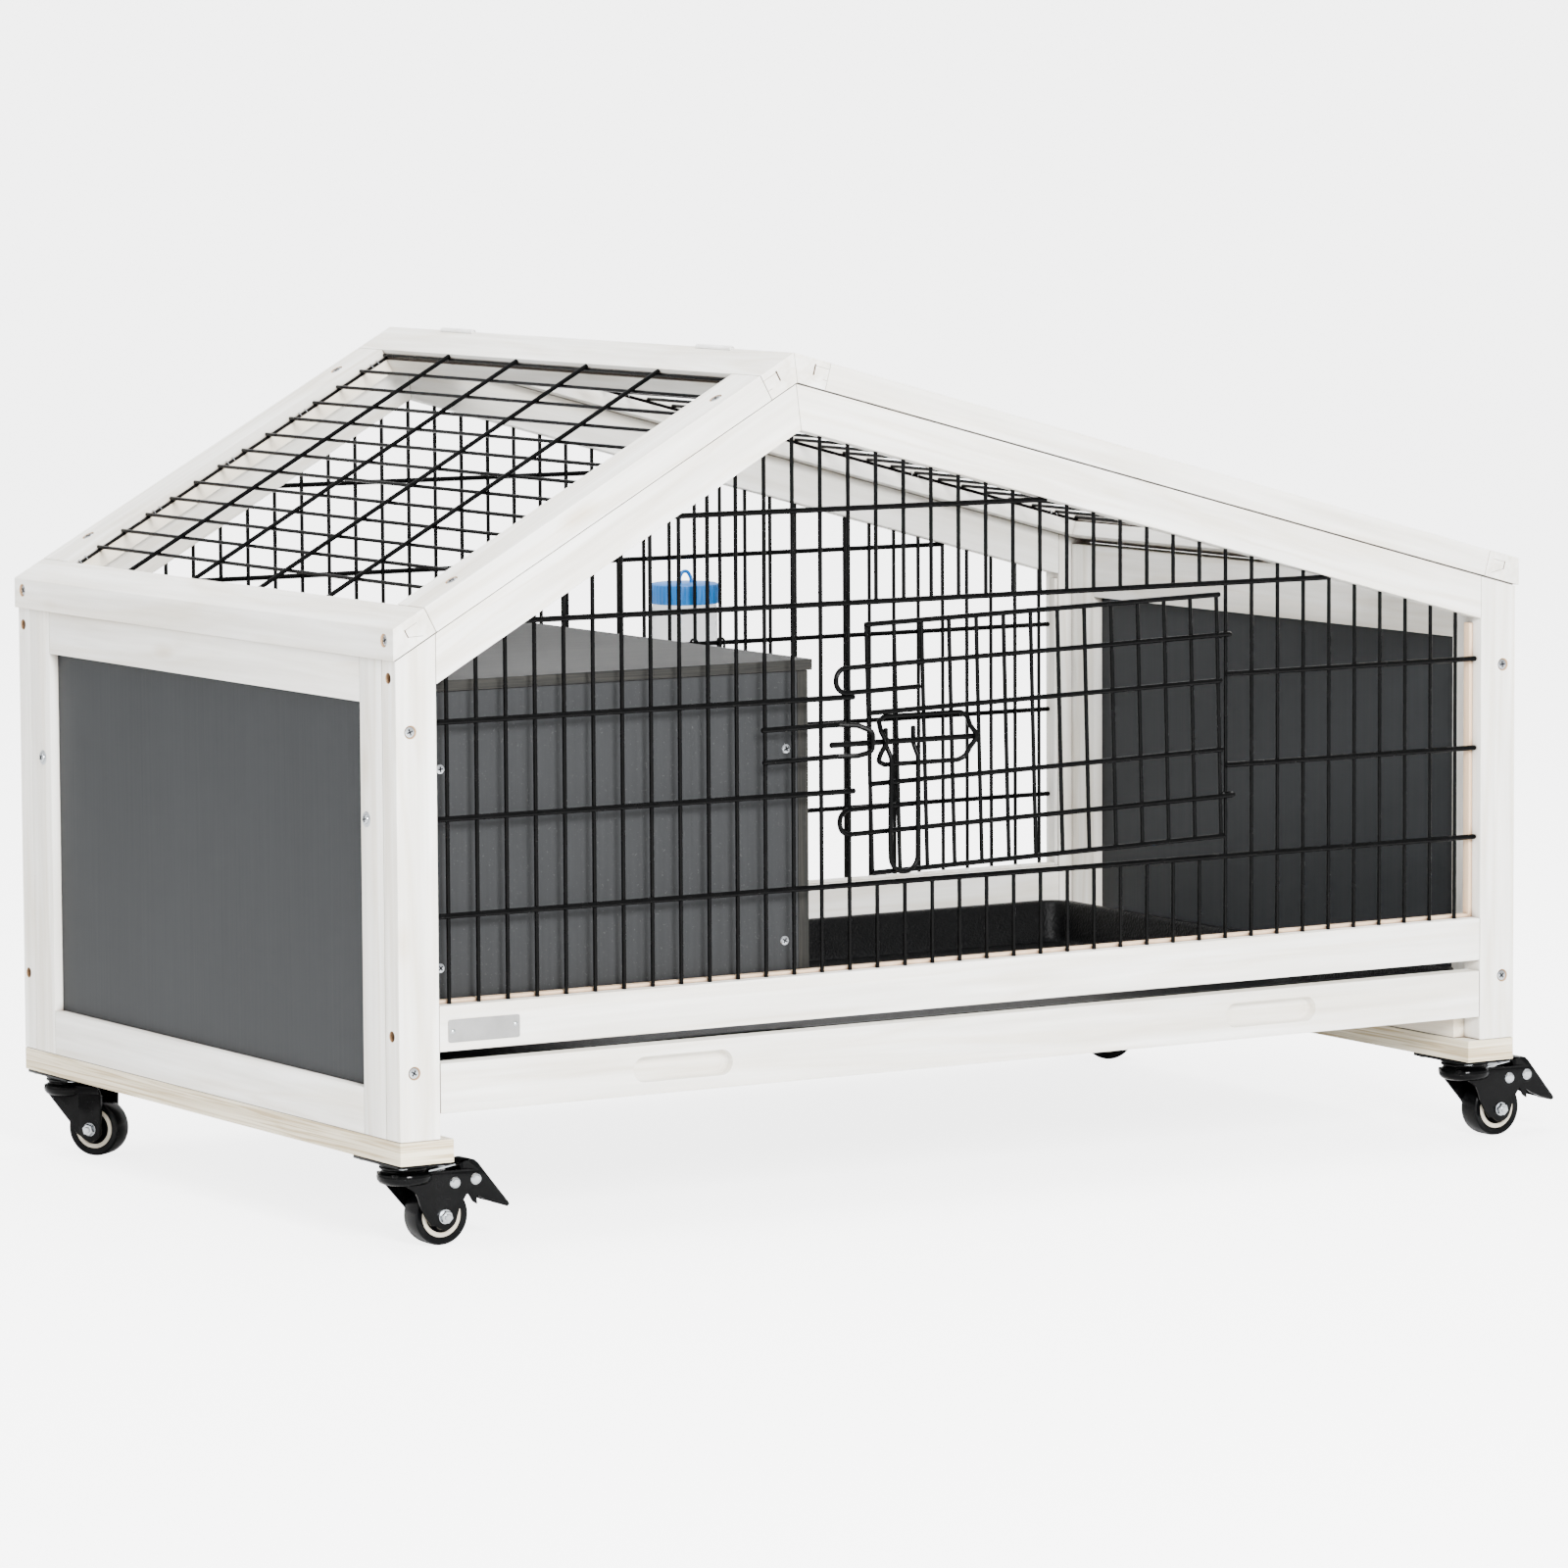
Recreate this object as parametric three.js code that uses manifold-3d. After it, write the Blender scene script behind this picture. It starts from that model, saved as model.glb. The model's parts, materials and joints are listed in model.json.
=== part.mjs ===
// Indoor rabbit hutch: a gabled timber frame with wire walls on four swivel casters.
// Millimetres, +Z up, +X to the right and -Y towards the person who opens the door.
import * as THREE from 'three';
import { mergeVertices } from 'three/addons/utils/BufferGeometryUtils.js';
import Module from 'manifold-3d';

const wasm = await Module();
wasm.setup();

// ---- driving dimensions ------------------------------------------------------------

const GAP = 0.3; // clearance between pieces that touch

// Timber frame, measured from its front left corner on top of the base boards
const LENGTH = 1000;
const DEPTH = 610;
const BOARD_T = 20.5; // thickness of every planed board
const BOARD_W = 33; // width of every planed board
const APEX_X = 337.5;
const APEX_Z = 535; // underside of the roof at the ridge
const EAVE_LEFT_Z = 347.6;
const EAVE_RIGHT_Z = 357.3;
const ROOF_T = 20.4;
const ROOF_OVER_X = 2.4;
const ROOF_OVER_Y = 1.7;
const RAFTER_W = 40;
const EAVE_RAIL_W = 29;
const FRONT_RAIL = [63.2, 96.3]; // bottom rail's lower and upper edge
const REAR_RAIL = [49.8, 82.9];
const PANEL_OPENING = [34, 313.6];
const PANEL_T = 5;
const PANEL_RECESS = 7;
const BASE_T = 17.4;
const BASE_W = 44;
const RUNNER_W = 22;
const RUNNER_H = 17.4;

// Wire walls
const WIRE = 2.8;
const PITCH = 24.38; // between upright wires
const UPRIGHTS = 38;
const FIRST_UPRIGHT_X = 45.9;
const MESH_INSET = 8; // from the frame's face to the wires' centre
const FRONT_ROW_Z = 160.25;
const FRONT_ROW_PITCH = 70;
const REAR_ROW_Z = 143.2;
const REAR_ROW_PITCH = 72.5;
const ROOF_MESH_DROP = 4.2; // below the roof boards' top
const ROOF_BARS = 4;

// Door in the front wire wall: it hangs between two of the wall's upright wires
const LATCH_UPRIGHT = 14;
const HINGE_UPRIGHT = 28;
const DOOR_PLANE_Y = 4.6;
const DOOR_UPRIGHTS = 14;
const DOOR_RIGHT_INSET = 8.6; // last door upright to the hinge wire
const DOOR_ROWS = [176.5, 207, 243, 296, 331, 362];
const DOOR_SAG = 1.45; // degrees, as a hooked-on wire door hangs
const DOOR_LOOP_REACH = 29;
const DOOR_LOOP_H = 18.5;
const DOOR_LOOP_BACK = 45;
const HOOK_INNER_R = 2.4;
const HOOK_OUTER_R = 5.2;

// Latch on the door
const BOLT_D = 4;
const BOLT_X = [364, 496];
const BOLT_Y = -1.7;
const BOLT_Z = 266.2;
const KEEPER_X = [411, 493];
const KEEPER_Z = [248.5, 285.5];
const KEEPER_REACH = 7.1; // how far the keeper stands out of the frame's face
const HANDLE_X = [424, 447.5];
const HANDLE_BOTTOM_Z = 169;
const CATCH_X = [311, 392];
const CATCH_Z = [256, 278];

// Hide box
const HIDE_X = 351;
const HIDE_BOTTOM_Z = 60;
const HIDE_TOP_Z = 320.5;
const HIDE_PLY = 7;
const DIVIDER_T = 9;
const HIDE_LID_T = 8;
const HIDE_LID_X = 363;
const DOORWAY_W = 150;
const DOORWAY_Z = [76, 250];

// Tray and drawer front
const TRAY_X = [36, 964];
const TRAY_Y = [17, 586];
const TRAY_Z = [18, 55];
const TRAY_WALL = 2.5;
const TRAY_RIM = 8;
const TRAY_DRAFT = 3;
const DRAWER_Z = [18.3, 54.8];
const DRAWER_T = 16;
const GRIP_X = [237, 765.5];
const GRIP_L = 85;
const GRIP_H = 19;
const GRIP_DEPTH = 7;

// Water bottle
const BOTTLE_X = 625;
const BOTTLE_OUT = 28; // bottle's axis behind the frame
const BOTTLE_R = 28;
const BOTTLE_CAP_R = 32.5;
const BOTTLE_TOP_Z = 318;

// Ridge hinges
const HINGE_Y = [110, 500];
const HINGE_L = 50;
const KNUCKLE_R = 2.2;
const HINGE_PIN_R = 1.05;
const LEAF_T = 1.2;
const LEAF_H = 17;

// Casters
const CASTER_H = 64.6;
const WHEEL_R = 22;
const WHEEL_W = 19;
const TRAIL = 25;
const CASTER_INSET = [22, 34];
const FORK_HALF = [12, 14]; // inner and outer face of a fork leg
const LEVER_PIVOT = [50.7, 47.6]; // from the swivel's axis, and above the floor
const LEVER_TIP_X = 80.5;
const SWIVELS = { front_left: 0, front_right: 0, rear_left: -55, rear_right: -38 };

// ---- worked out from them ----------------------------------------------------------

const LEFT_ANGLE = Math.atan((APEX_Z - EAVE_LEFT_Z) / APEX_X);
const RIGHT_ANGLE = Math.atan((APEX_Z - EAVE_RIGHT_Z) / (LENGTH - APEX_X));
const underLeft = (x) => EAVE_LEFT_Z + x * Math.tan(LEFT_ANGLE);
const underRight = (x) => APEX_Z - (x - APEX_X) * Math.tan(RIGHT_ANGLE);
const railDropLeft = BOARD_W / Math.cos(LEFT_ANGLE);
const railDropRight = BOARD_W / Math.cos(RIGHT_ANGLE);
const openingTop = (x) => Math.min(underLeft(x) - railDropLeft, underRight(x) - railDropRight);
const meshOpeningApex = crossing(-railDropLeft, -railDropRight);
const roofApex = crossing(ROOF_T / Math.cos(LEFT_ANGLE), ROOF_T / Math.cos(RIGHT_ANGLE));
const uprightX = (i) => FIRST_UPRIGHT_X + i * PITCH;
const HINGE_WIRE = [uprightX(HINGE_UPRIGHT), MESH_INSET];
const FRAME_Z = CASTER_H + BASE_T;
const X_MID = (LENGTH - CASTER_INSET[0] + LEVER_TIP_X - ROOF_OVER_X) / 2;
const Y_MID = (DEPTH + BOTTLE_OUT + BOTTLE_CAP_R - KEEPER_REACH) / 2;

// Where the two roof slopes meet when each is raised by its own amount
function crossing(raiseLeft, raiseRight) {
  const rise = Math.tan(LEFT_ANGLE) + Math.tan(RIGHT_ANGLE);
  const x = APEX_X + (raiseRight - raiseLeft) / rise;
  return [x, underLeft(x) + raiseLeft];
}

// ---- finishes ----------------------------------------------------------------------

const finish = (color, roughness, metalness = 0) =>
  new THREE.MeshStandardMaterial({ color, roughness, metalness });
const WHITE_WOOD = finish(0xeeece6, 0.55);
const RAW_WOOD = finish(0xe4d9bd, 0.7);
const GREY_PLY = finish(0x4a4d51, 0.6);
const STAINED_PLY = finish(0x707375, 0.75);
const BLACK_WIRE = finish(0x17191a, 0.3, 0.5);
const BLACK_STEEL = finish(0x151618, 0.35, 0.6);
const BRIGHT_STEEL = finish(0xc0c3c6, 0.3, 1);
const TRAY_PLASTIC = finish(0x1b1d1e, 0.6);
const TYRE = finish(0x191a1b, 0.55);
const CLEAR_PLASTIC = finish(0xe8eef0, 0.25);
const BLUE_PLASTIC = finish(0x2a8fd8, 0.4);

// ---- shape helpers -----------------------------------------------------------------

function solid(geometry) {
  const bare = geometry.index ? geometry.clone() : geometry;
  bare.deleteAttribute('normal');
  bare.deleteAttribute('uv');
  const merged = mergeVertices(bare, 1e-4);
  const mesh = new wasm.Mesh({
    numProp: 3,
    vertProperties: new Float32Array(merged.attributes.position.array),
    triVerts: new Uint32Array(merged.index.array),
  });
  return new wasm.Manifold(mesh);
}

function geometryOf(manifold) {
  const mesh = manifold.getMesh();
  const geometry = new THREE.BufferGeometry();
  geometry.setAttribute('position', new THREE.BufferAttribute(mesh.vertProperties, 3));
  geometry.setIndex(new THREE.BufferAttribute(mesh.triVerts, 1));
  geometry.computeVertexNormals();
  return geometry;
}

const around = (centre, width) => [centre - width / 2, centre + width / 2];
const join = (solids) => solids.reduce((whole, next) => whole.add(next));
const cut = (body, tools) => tools.reduce((left, tool) => left.subtract(tool), body);

function box([x0, x1], [y0, y1], [z0, z1]) {
  const geometry = new THREE.BoxGeometry(x1 - x0, y1 - y0, z1 - z0);
  return solid(geometry.translate((x0 + x1) / 2, (y0 + y1) / 2, (z0 + z1) / 2));
}

function outline(points) {
  return new THREE.Shape(points.map(([x, z]) => new THREE.Vector2(x, z)));
}

// A shape drawn in X and Z, run along Y from y0 to y1
function alongY(shape, [y0, y1], curveSegments = 8) {
  const options = { depth: y1 - y0, bevelEnabled: false, curveSegments };
  const geometry = new THREE.ExtrudeGeometry(shape, options);
  return solid(geometry.rotateX(Math.PI / 2).translate(0, y1, 0));
}

function rod(from, to, radius, sides = 6) {
  const a = new THREE.Vector3(...from);
  const b = new THREE.Vector3(...to);
  const geometry = new THREE.CylinderGeometry(radius, radius, a.distanceTo(b), sides);
  const turn = new THREE.Quaternion();
  turn.setFromUnitVectors(new THREE.Vector3(0, 1, 0), b.clone().sub(a).normalize());
  geometry.applyQuaternion(turn);
  const middle = a.add(b).multiplyScalar(0.5);
  return solid(geometry.translate(middle.x, middle.y, middle.z));
}

// A flat wire loop drawn in X and Z, centred on y: the outline less the same outline inset
function wireLoop(outer, inner, y, thickness) {
  const shape = outline(outer);
  shape.holes.push(new THREE.Path(inner.map(([x, z]) => new THREE.Vector2(x, z))));
  return alongY(shape, around(y, thickness));
}

// A turned shape about the vertical axis; the profile starts and ends on the axis
function turned(profile, sides) {
  return solid(new THREE.LatheGeometry(profile.map(([r, z]) => new THREE.Vector2(r, z)), sides)
    .rotateX(Math.PI / 2));
}

function part(group, name, shape, material) {
  const mesh = new THREE.Mesh(geometryOf(shape), material);
  mesh.name = name;
  group.add(mesh);
  return mesh;
}

function subgroup(parent, x = 0, y = 0, z = 0) {
  const group = new THREE.Group();
  group.position.set(x, y, z);
  parent.add(group);
  return group;
}

// ---- timber frame ------------------------------------------------------------------

const INNER_X = [BOARD_W + GAP, LENGTH - BOARD_W - GAP];

function post(x0, x1, under) {
  return [[x0, 0], [x1, 0], [x1, under(x1) - GAP], [x0, under(x0) - GAP]];
}

function gableRail(outerX, side, under, drop) {
  const half = (side * GAP) / 2;
  return [
    [outerX, under(outerX) - drop],
    [meshOpeningApex[0] - half, meshOpeningApex[1]],
    [APEX_X - half, APEX_Z - GAP],
    [outerX, under(outerX) - GAP],
  ];
}

function gableFrame(group, prefix, y, bottomRail) {
  const board = (name, points) =>
    part(group, `${prefix}_${name}`, alongY(outline(points), y), WHITE_WOOD);
  board('left_post', post(0, BOARD_W, underLeft));
  board('right_post', post(LENGTH - BOARD_W, LENGTH, underRight));
  board('left_gable_rail', gableRail(INNER_X[0], 1, underLeft, railDropLeft));
  board('right_gable_rail', gableRail(INNER_X[1], -1, underRight, railDropRight).reverse());
  const [low, high] = bottomRail;
  part(group, `${prefix}_bottom_rail`, box(INNER_X, y, [low, high]), WHITE_WOOD);
}

const SIDE_Y = [BOARD_T + GAP, DEPTH - BOARD_T - GAP];

function sideFrame(group, name, outerX, inwards, topZ) {
  const span = (a, b) => [outerX + inwards * a, outerX + inwards * b].sort((p, q) => p - q);
  const openingY = [SIDE_Y[0] + BOARD_W, SIDE_Y[1] - BOARD_W];
  const ring = box(span(0, BOARD_T), SIDE_Y, [0, topZ - GAP]);
  const hole = box(span(-1, BOARD_T + 1), openingY, PANEL_OPENING);
  part(group, `${name}_side_frame`, ring.subtract(hole), WHITE_WOOD);
  const panelY = [openingY[0] + GAP, openingY[1] - GAP];
  const panelZ = [PANEL_OPENING[0] + GAP, PANEL_OPENING[1] - GAP];
  const panel = box(span(PANEL_RECESS, PANEL_RECESS + PANEL_T), panelY, panelZ);
  part(group, `${name}_side_panel`, panel, GREY_PLY);
}

function baseAndRunner(group, name, outerX, inwards) {
  const span = (a, b) => [outerX + inwards * a, outerX + inwards * b].sort((p, q) => p - q);
  const base = box(span(0, BASE_W), [0, DEPTH], [-BASE_T, -GAP]);
  part(group, `${name}_base_board`, base, RAW_WOOD);
  const runnerX = span(BOARD_T + GAP, BOARD_T + GAP + RUNNER_W);
  part(group, `${name}_tray_runner`, box(runnerX, SIDE_Y, [0, RUNNER_H]), RAW_WOOD);
}

// ---- wire grids --------------------------------------------------------------------

// Welded grid of square wires in one plane: uprights [x, z0, z1] and rows [z, x0, x1]
function grid(uprights, rows, planeY) {
  const y = around(planeY, WIRE);
  const standing = uprights.map(([x, z0, z1]) => box(around(x, WIRE), y, [z0, z1]));
  const lying = rows.map(([z, x0, x1]) => box([x0, x1], y, around(z, WIRE)));
  return join([...lying, ...standing]);
}

const WALL_X = [BOARD_W + 0.4, LENGTH - BOARD_W - 0.4];

function rowSpan(z) {
  const top = z + WIRE / 2 + 0.5;
  const left = (top + railDropLeft - EAVE_LEFT_Z) / Math.tan(LEFT_ANGLE);
  const right = APEX_X + (APEX_Z - railDropRight - top) / Math.tan(RIGHT_ANGLE);
  return [Math.max(WALL_X[0], left), Math.min(WALL_X[1], right)];
}

const wallTop = (x) => Math.min(openingTop(x - WIRE / 2), openingTop(x + WIRE / 2)) - 0.4;

function wallRows(firstZ, pitch) {
  const rows = [];
  for (let z = firstZ; z < meshOpeningApex[1] - WIRE * 4; z += pitch) {
    rows.push(z);
  }
  return rows;
}

function latchCatch() {
  const y = [3.8, MESH_INSET - WIRE / 2 + 0.2];
  return CATCH_Z.map((z) => box(CATCH_X, y, around(z, WIRE)));
}

function frontWall() {
  const rows = wallRows(FRONT_ROW_Z, FRONT_ROW_PITCH);
  const [sill, head] = [rows[0], rows[3]];
  const doorway = [uprightX(LATCH_UPRIGHT), uprightX(HINGE_UPRIGHT)];
  const lying = rows.flatMap((z) => {
    const [x0, x1] = rowSpan(z);
    const whole = z <= sill || z >= head;
    return whole ? [[z, x0, x1]] : [[z, x0, doorway[0] + 3], [z, doorway[1], x1]];
  });
  const standing = [];
  for (let i = 0; i < UPRIGHTS; i += 1) {
    const x = uprightX(i);
    if (i > LATCH_UPRIGHT && i < HINGE_UPRIGHT) {
      standing.push([x, FRONT_RAIL[1] + 0.4, sill], [x, head, wallTop(x)]);
    } else {
      standing.push([x, FRONT_RAIL[1] + 0.4, wallTop(x)]);
    }
  }
  return join([grid(standing, lying, MESH_INSET), ...latchCatch()]);
}

function rearWall() {
  const lying = wallRows(REAR_ROW_Z, REAR_ROW_PITCH).map((z) => [z, ...rowSpan(z)]);
  const standing = [];
  for (let i = 0; i < UPRIGHTS; i += 1) {
    const x = LENGTH - uprightX(i);
    standing.push([x, REAR_RAIL[1] + 0.4, wallTop(x)]);
  }
  return grid(standing, lying, DEPTH - MESH_INSET);
}

// ---- roof --------------------------------------------------------------------------

// One slope: at(s, h) is the point s up the slope from the eave and h above its underside
function slope(x0, z0, side, angle) {
  const [c, s] = [Math.cos(angle), Math.sin(angle)];
  return {
    side,
    angle,
    x0,
    z0,
    at: (run, h) => [x0 + side * (run * c - h * s), z0 + run * s + h * c],
    runOf: (x, h) => ((x - x0) * side + h * s) / c,
  };
}

const LEFT_SLOPE = slope(0, EAVE_LEFT_Z, 1, LEFT_ANGLE);
const RIGHT_SLOPE = slope(LENGTH, EAVE_RIGHT_Z, -1, RIGHT_ANGLE);

function roofBoards(group, name, side, hingePockets) {
  const { at, runOf, x0 } = side;
  const eaveX = x0 - side.side * ROOF_OVER_X;
  const eaveEnd = runOf(eaveX, ROOF_T) + EAVE_RAIL_W;
  const ridgeStart = runOf(roofApex[0], ROOF_T) - BOARD_W;
  const lengthwise = [-ROOF_OVER_Y, DEPTH + ROOF_OVER_Y];
  const seam = (side.side * GAP) / 2;
  const ordered = (points) => outline(side.side > 0 ? points : points.reverse());
  const eave = [
    at(runOf(eaveX, 0), 0),
    at(eaveEnd, 0),
    at(eaveEnd, ROOF_T),
    at(runOf(eaveX, ROOF_T), ROOF_T),
  ];
  const ridge = [
    at(ridgeStart, 0),
    [APEX_X - seam, APEX_Z],
    [roofApex[0] - seam, roofApex[1]],
    at(ridgeStart, ROOF_T),
  ];
  const rafter = [
    at(eaveEnd + GAP, 0),
    at(ridgeStart - GAP, 0),
    at(ridgeStart - GAP, ROOF_T),
    at(eaveEnd + GAP, ROOF_T),
  ];
  part(group, `${name}_eave_rail`, alongY(ordered(eave), lengthwise), WHITE_WOOD);
  const ridgeRail = cut(alongY(ordered(ridge), lengthwise), hingePockets);
  part(group, `${name}_ridge_rail`, ridgeRail, WHITE_WOOD);
  const front = [lengthwise[0], lengthwise[0] + RAFTER_W];
  const rear = [lengthwise[1] - RAFTER_W, lengthwise[1]];
  part(group, `${name}_front_rafter`, alongY(ordered([...rafter]), front), WHITE_WOOD);
  part(group, `${name}_rear_rafter`, alongY(ordered([...rafter]), rear), WHITE_WOOD);
  roofMesh(group, name, side, [eaveEnd, ridgeStart], [front[1], rear[0]]);
}

// The grid is drawn standing and laid onto the slope: its rows run up the slope
function roofMesh(group, name, side, run, y) {
  const [r0, r1] = [run[0] + 0.4, run[1] - 0.4];
  const [y0, y1] = [y[0] + 0.4, y[1] - 0.4];
  const count = Math.floor((r1 - r0) / PITCH);
  const margin = (r1 - r0 - count * PITCH) / 2;
  const uprights = [];
  for (let i = 0; i <= count; i += 1) {
    uprights.push([r0 + margin + i * PITCH, y0, y1]);
  }
  const spacing = (y1 - y0) / (ROOF_BARS + 1);
  const rows = [];
  for (let i = 1; i <= ROOF_BARS; i += 1) {
    rows.push([y0 + i * spacing, r0, r1]);
  }
  const flat = geometryOf(grid(uprights, rows, 0)).rotateX(-Math.PI / 2);
  if (side.side < 0) {
    flat.rotateZ(Math.PI).translate(0, DEPTH, 0);
  }
  flat.translate(0, 0, ROOF_T - ROOF_MESH_DROP);
  const mesh = new THREE.Mesh(flat, BLACK_WIRE);
  mesh.name = `${name}_mesh`;
  mesh.position.set(side.x0, 0, side.z0);
  mesh.rotation.y = -side.side * side.angle;
  group.add(mesh);
}

// ---- ridge hinges ------------------------------------------------------------------

const SEAM_LEAN = Math.atan((APEX_X - roofApex[0]) / (roofApex[1] - APEX_Z));

// Moves a shape drawn about the hinge pin, with -Z down the seam, to its place on the ridge
function onRidge(shape, y) {
  return shape.rotate([0, -THREE.MathUtils.radToDeg(SEAM_LEAN), 0])
    .translate([roofApex[0], y, roofApex[1]]);
}

const alongPin = (radius, y0, y1, sides = 10) => rod([0, y0, 0], [0, y1, 0], radius, sides);
const KNUCKLE_CUTS = [-HINGE_L / 2, -HINGE_L / 6, HINGE_L / 6, HINGE_L / 2];

function fixedLeaf() {
  const [a, b, c, d] = KNUCKLE_CUTS;
  const x = [-0.3 - LEAF_T, -0.3];
  const knuckle = (y0, y1) =>
    join([alongPin(KNUCKLE_R, y0, y1), box(x, [y0, y1], [-4, 0])]);
  const whole = join([box(x, [a, d], [-LEAF_H, -2.8]), knuckle(a, b), knuckle(c, d)]);
  return whole.subtract(alongPin(HINGE_PIN_R + GAP, a - 1, d + 1));
}

function movingLeaf() {
  const [a, b, c, d] = KNUCKLE_CUTS;
  const x = [0.3, 0.3 + LEAF_T];
  const middle = [b + GAP, c - GAP];
  return join([
    box(x, [a, d], [-LEAF_H, -2.8]),
    alongPin(KNUCKLE_R, ...middle),
    box(x, middle, [-4, 0]),
    alongPin(HINGE_PIN_R, a, d),
  ]);
}

function hingePockets(side) {
  const reach = LEAF_T + 0.6;
  return HINGE_Y.map((y) => {
    const ends = [-HINGE_L / 2 - GAP, HINGE_L / 2 + GAP];
    const leaf = box(side > 0 ? [-reach, 1] : [-1, reach], ends, [-LEAF_H - GAP, 3]);
    return onRidge(join([leaf, alongPin(KNUCKLE_R + 0.4, ...ends)]), y);
  });
}

function ridgeHinges(fixedGroup, movingGroup) {
  HINGE_Y.forEach((y, i) => {
    const place = i === 0 ? 'front' : 'rear';
    part(fixedGroup, `${place}_hinge_fixed_leaf`, onRidge(fixedLeaf(), y), BRIGHT_STEEL);
    part(movingGroup, `${place}_hinge_moving_leaf`, onRidge(movingLeaf(), y), BRIGHT_STEEL);
  });
}

// ---- mesh door and latch -----------------------------------------------------------

// A ring that hangs on the wall's hinge wire, with the stem that carries it
function hook(z) {
  const [x, y] = HINGE_WIRE;
  const eye = rod([x, y, z - WIRE / 2], [x, y, z + WIRE / 2], HOOK_OUTER_R, 20);
  const stem = [x - DOOR_RIGHT_INSET - 2, x - HOOK_INNER_R - 0.6];
  const bore = rod([x, y, z - WIRE], [x, y, z + WIRE], HOOK_INNER_R, 16);
  return join([eye, box(stem, around(DOOR_PLANE_Y, WIRE), around(z, WIRE))]).subtract(bore);
}

// The wire end that turns back on itself and stops the door against the wall
function stopLoop(z, turnTo, leftX) {
  const y = around(DOOR_PLANE_Y, WIRE);
  const tip = leftX - DOOR_LOOP_REACH;
  const back = z + turnTo * DOOR_LOOP_H;
  return [
    box([tip, leftX], y, around(z, WIRE)),
    box(around(tip, WIRE), y, [Math.min(z, back) - WIRE / 2, Math.max(z, back) + WIRE / 2]),
    box([tip, leftX + DOOR_LOOP_BACK], y, around(back, WIRE)),
  ];
}

function doorGrid() {
  const right = HINGE_WIRE[0] - DOOR_RIGHT_INSET;
  const left = right - (DOOR_UPRIGHTS - 1) * PITCH;
  const [bottom, lowLoop, , , highLoop, top] = DOOR_ROWS;
  const uprights = [];
  for (let i = 0; i < DOOR_UPRIGHTS; i += 1) {
    uprights.push([left + i * PITCH, bottom - WIRE / 2, top + WIRE / 2]);
  }
  const rows = DOOR_ROWS.map((z) => [z, left, right]);
  const flat = join([
    grid(uprights, rows, DOOR_PLANE_Y),
    ...stopLoop(lowLoop, 1, left),
    ...stopLoop(highLoop, -1, left),
  ]);
  const middleZ = (bottom + top) / 2;
  const hung = flat.translate([-HINGE_WIRE[0], 0, -middleZ])
    .rotate([0, -DOOR_SAG, 0])
    .translate([HINGE_WIRE[0], 0, middleZ]);
  return join([hung, hook(lowLoop), hook(highLoop)]);
}

function keeper() {
  const back = DOOR_PLANE_Y - WIRE / 2 + 0.2;
  const [y0, y1] = [-KEEPER_REACH, back];
  const bars = KEEPER_Z.map((z) => box(KEEPER_X, [back - WIRE, back], around(z, WIRE)));
  const ends = KEEPER_X.map((x, i) => {
    const width = i === 0 ? [x, x + WIRE] : [x - WIRE, x];
    const height = [KEEPER_Z[0] - WIRE / 2, KEEPER_Z[1] + WIRE / 2];
    const passage = [KEEPER_Z[0] + WIRE / 2, KEEPER_Z[1] - WIRE / 2];
    return box(width, [y0, y1], height).subtract(box([x - 5, x + 5], [y0 + WIRE, y1 + 1], passage));
  });
  return join([...bars, ...ends]);
}

// Half outline of the hanging loop, so many millimetres outside the wire's centre line
function handleOutline(out) {
  const [x0, x1] = [HANDLE_X[0] - out, HANDLE_X[1] + out];
  const radius = (x1 - x0) / 2;
  const bottom = HANDLE_BOTTOM_Z + WIRE / 2 - out;
  const top = BOLT_Z - BOLT_D / 2 - 2;
  const points = [[x1, top], [x0, top]];
  for (let i = 0; i <= 6; i += 1) {
    const turn = Math.PI * (1 + i / 6);
    points.push([x0 + radius + radius * Math.cos(turn), bottom + radius + radius * Math.sin(turn)]);
  }
  return points;
}

function latchHandle() {
  const radius = WIRE / 2;
  const eyes = HANDLE_X.map((x) =>
    rod([x - radius, BOLT_Y, BOLT_Z], [x + radius, BOLT_Y, BOLT_Z], BOLT_D / 2 + 2.6, 12));
  const [outer, inner] = [handleOutline(radius), handleOutline(-radius)];
  inner[0][1] += 10;
  inner[1][1] += 10;
  const loop = alongY(outline(outer), around(BOLT_Y, WIRE))
    .subtract(alongY(outline(inner), around(BOLT_Y, WIRE * 2)));
  const [x0, x1] = HANDLE_X;
  const bore = rod([x0 - 5, BOLT_Y, BOLT_Z], [x1 + 5, BOLT_Y, BOLT_Z], BOLT_D / 2 + 0.35, 12);
  return join([...eyes, loop]).subtract(bore);
}

function doorAndLatch(group) {
  part(group, 'door_mesh', doorGrid().add(keeper()), BLACK_WIRE);
  const bolt = rod([BOLT_X[0], BOLT_Y, BOLT_Z], [BOLT_X[1], BOLT_Y, BOLT_Z], BOLT_D / 2, 12);
  part(group, 'latch_bolt', bolt, BLACK_STEEL);
  part(group, 'latch_handle', latchHandle(), BLACK_STEEL);
}

// ---- hide box ----------------------------------------------------------------------

function doorwayShape() {
  const [sill, head] = DOORWAY_Z;
  const radius = DOORWAY_W / 2;
  const shape = new THREE.Shape();
  shape.moveTo(-radius, sill);
  shape.lineTo(radius, sill);
  shape.lineTo(radius, head - radius);
  shape.absarc(0, head - radius, radius, 0, Math.PI);
  shape.lineTo(-radius, sill);
  return shape;
}

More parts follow.
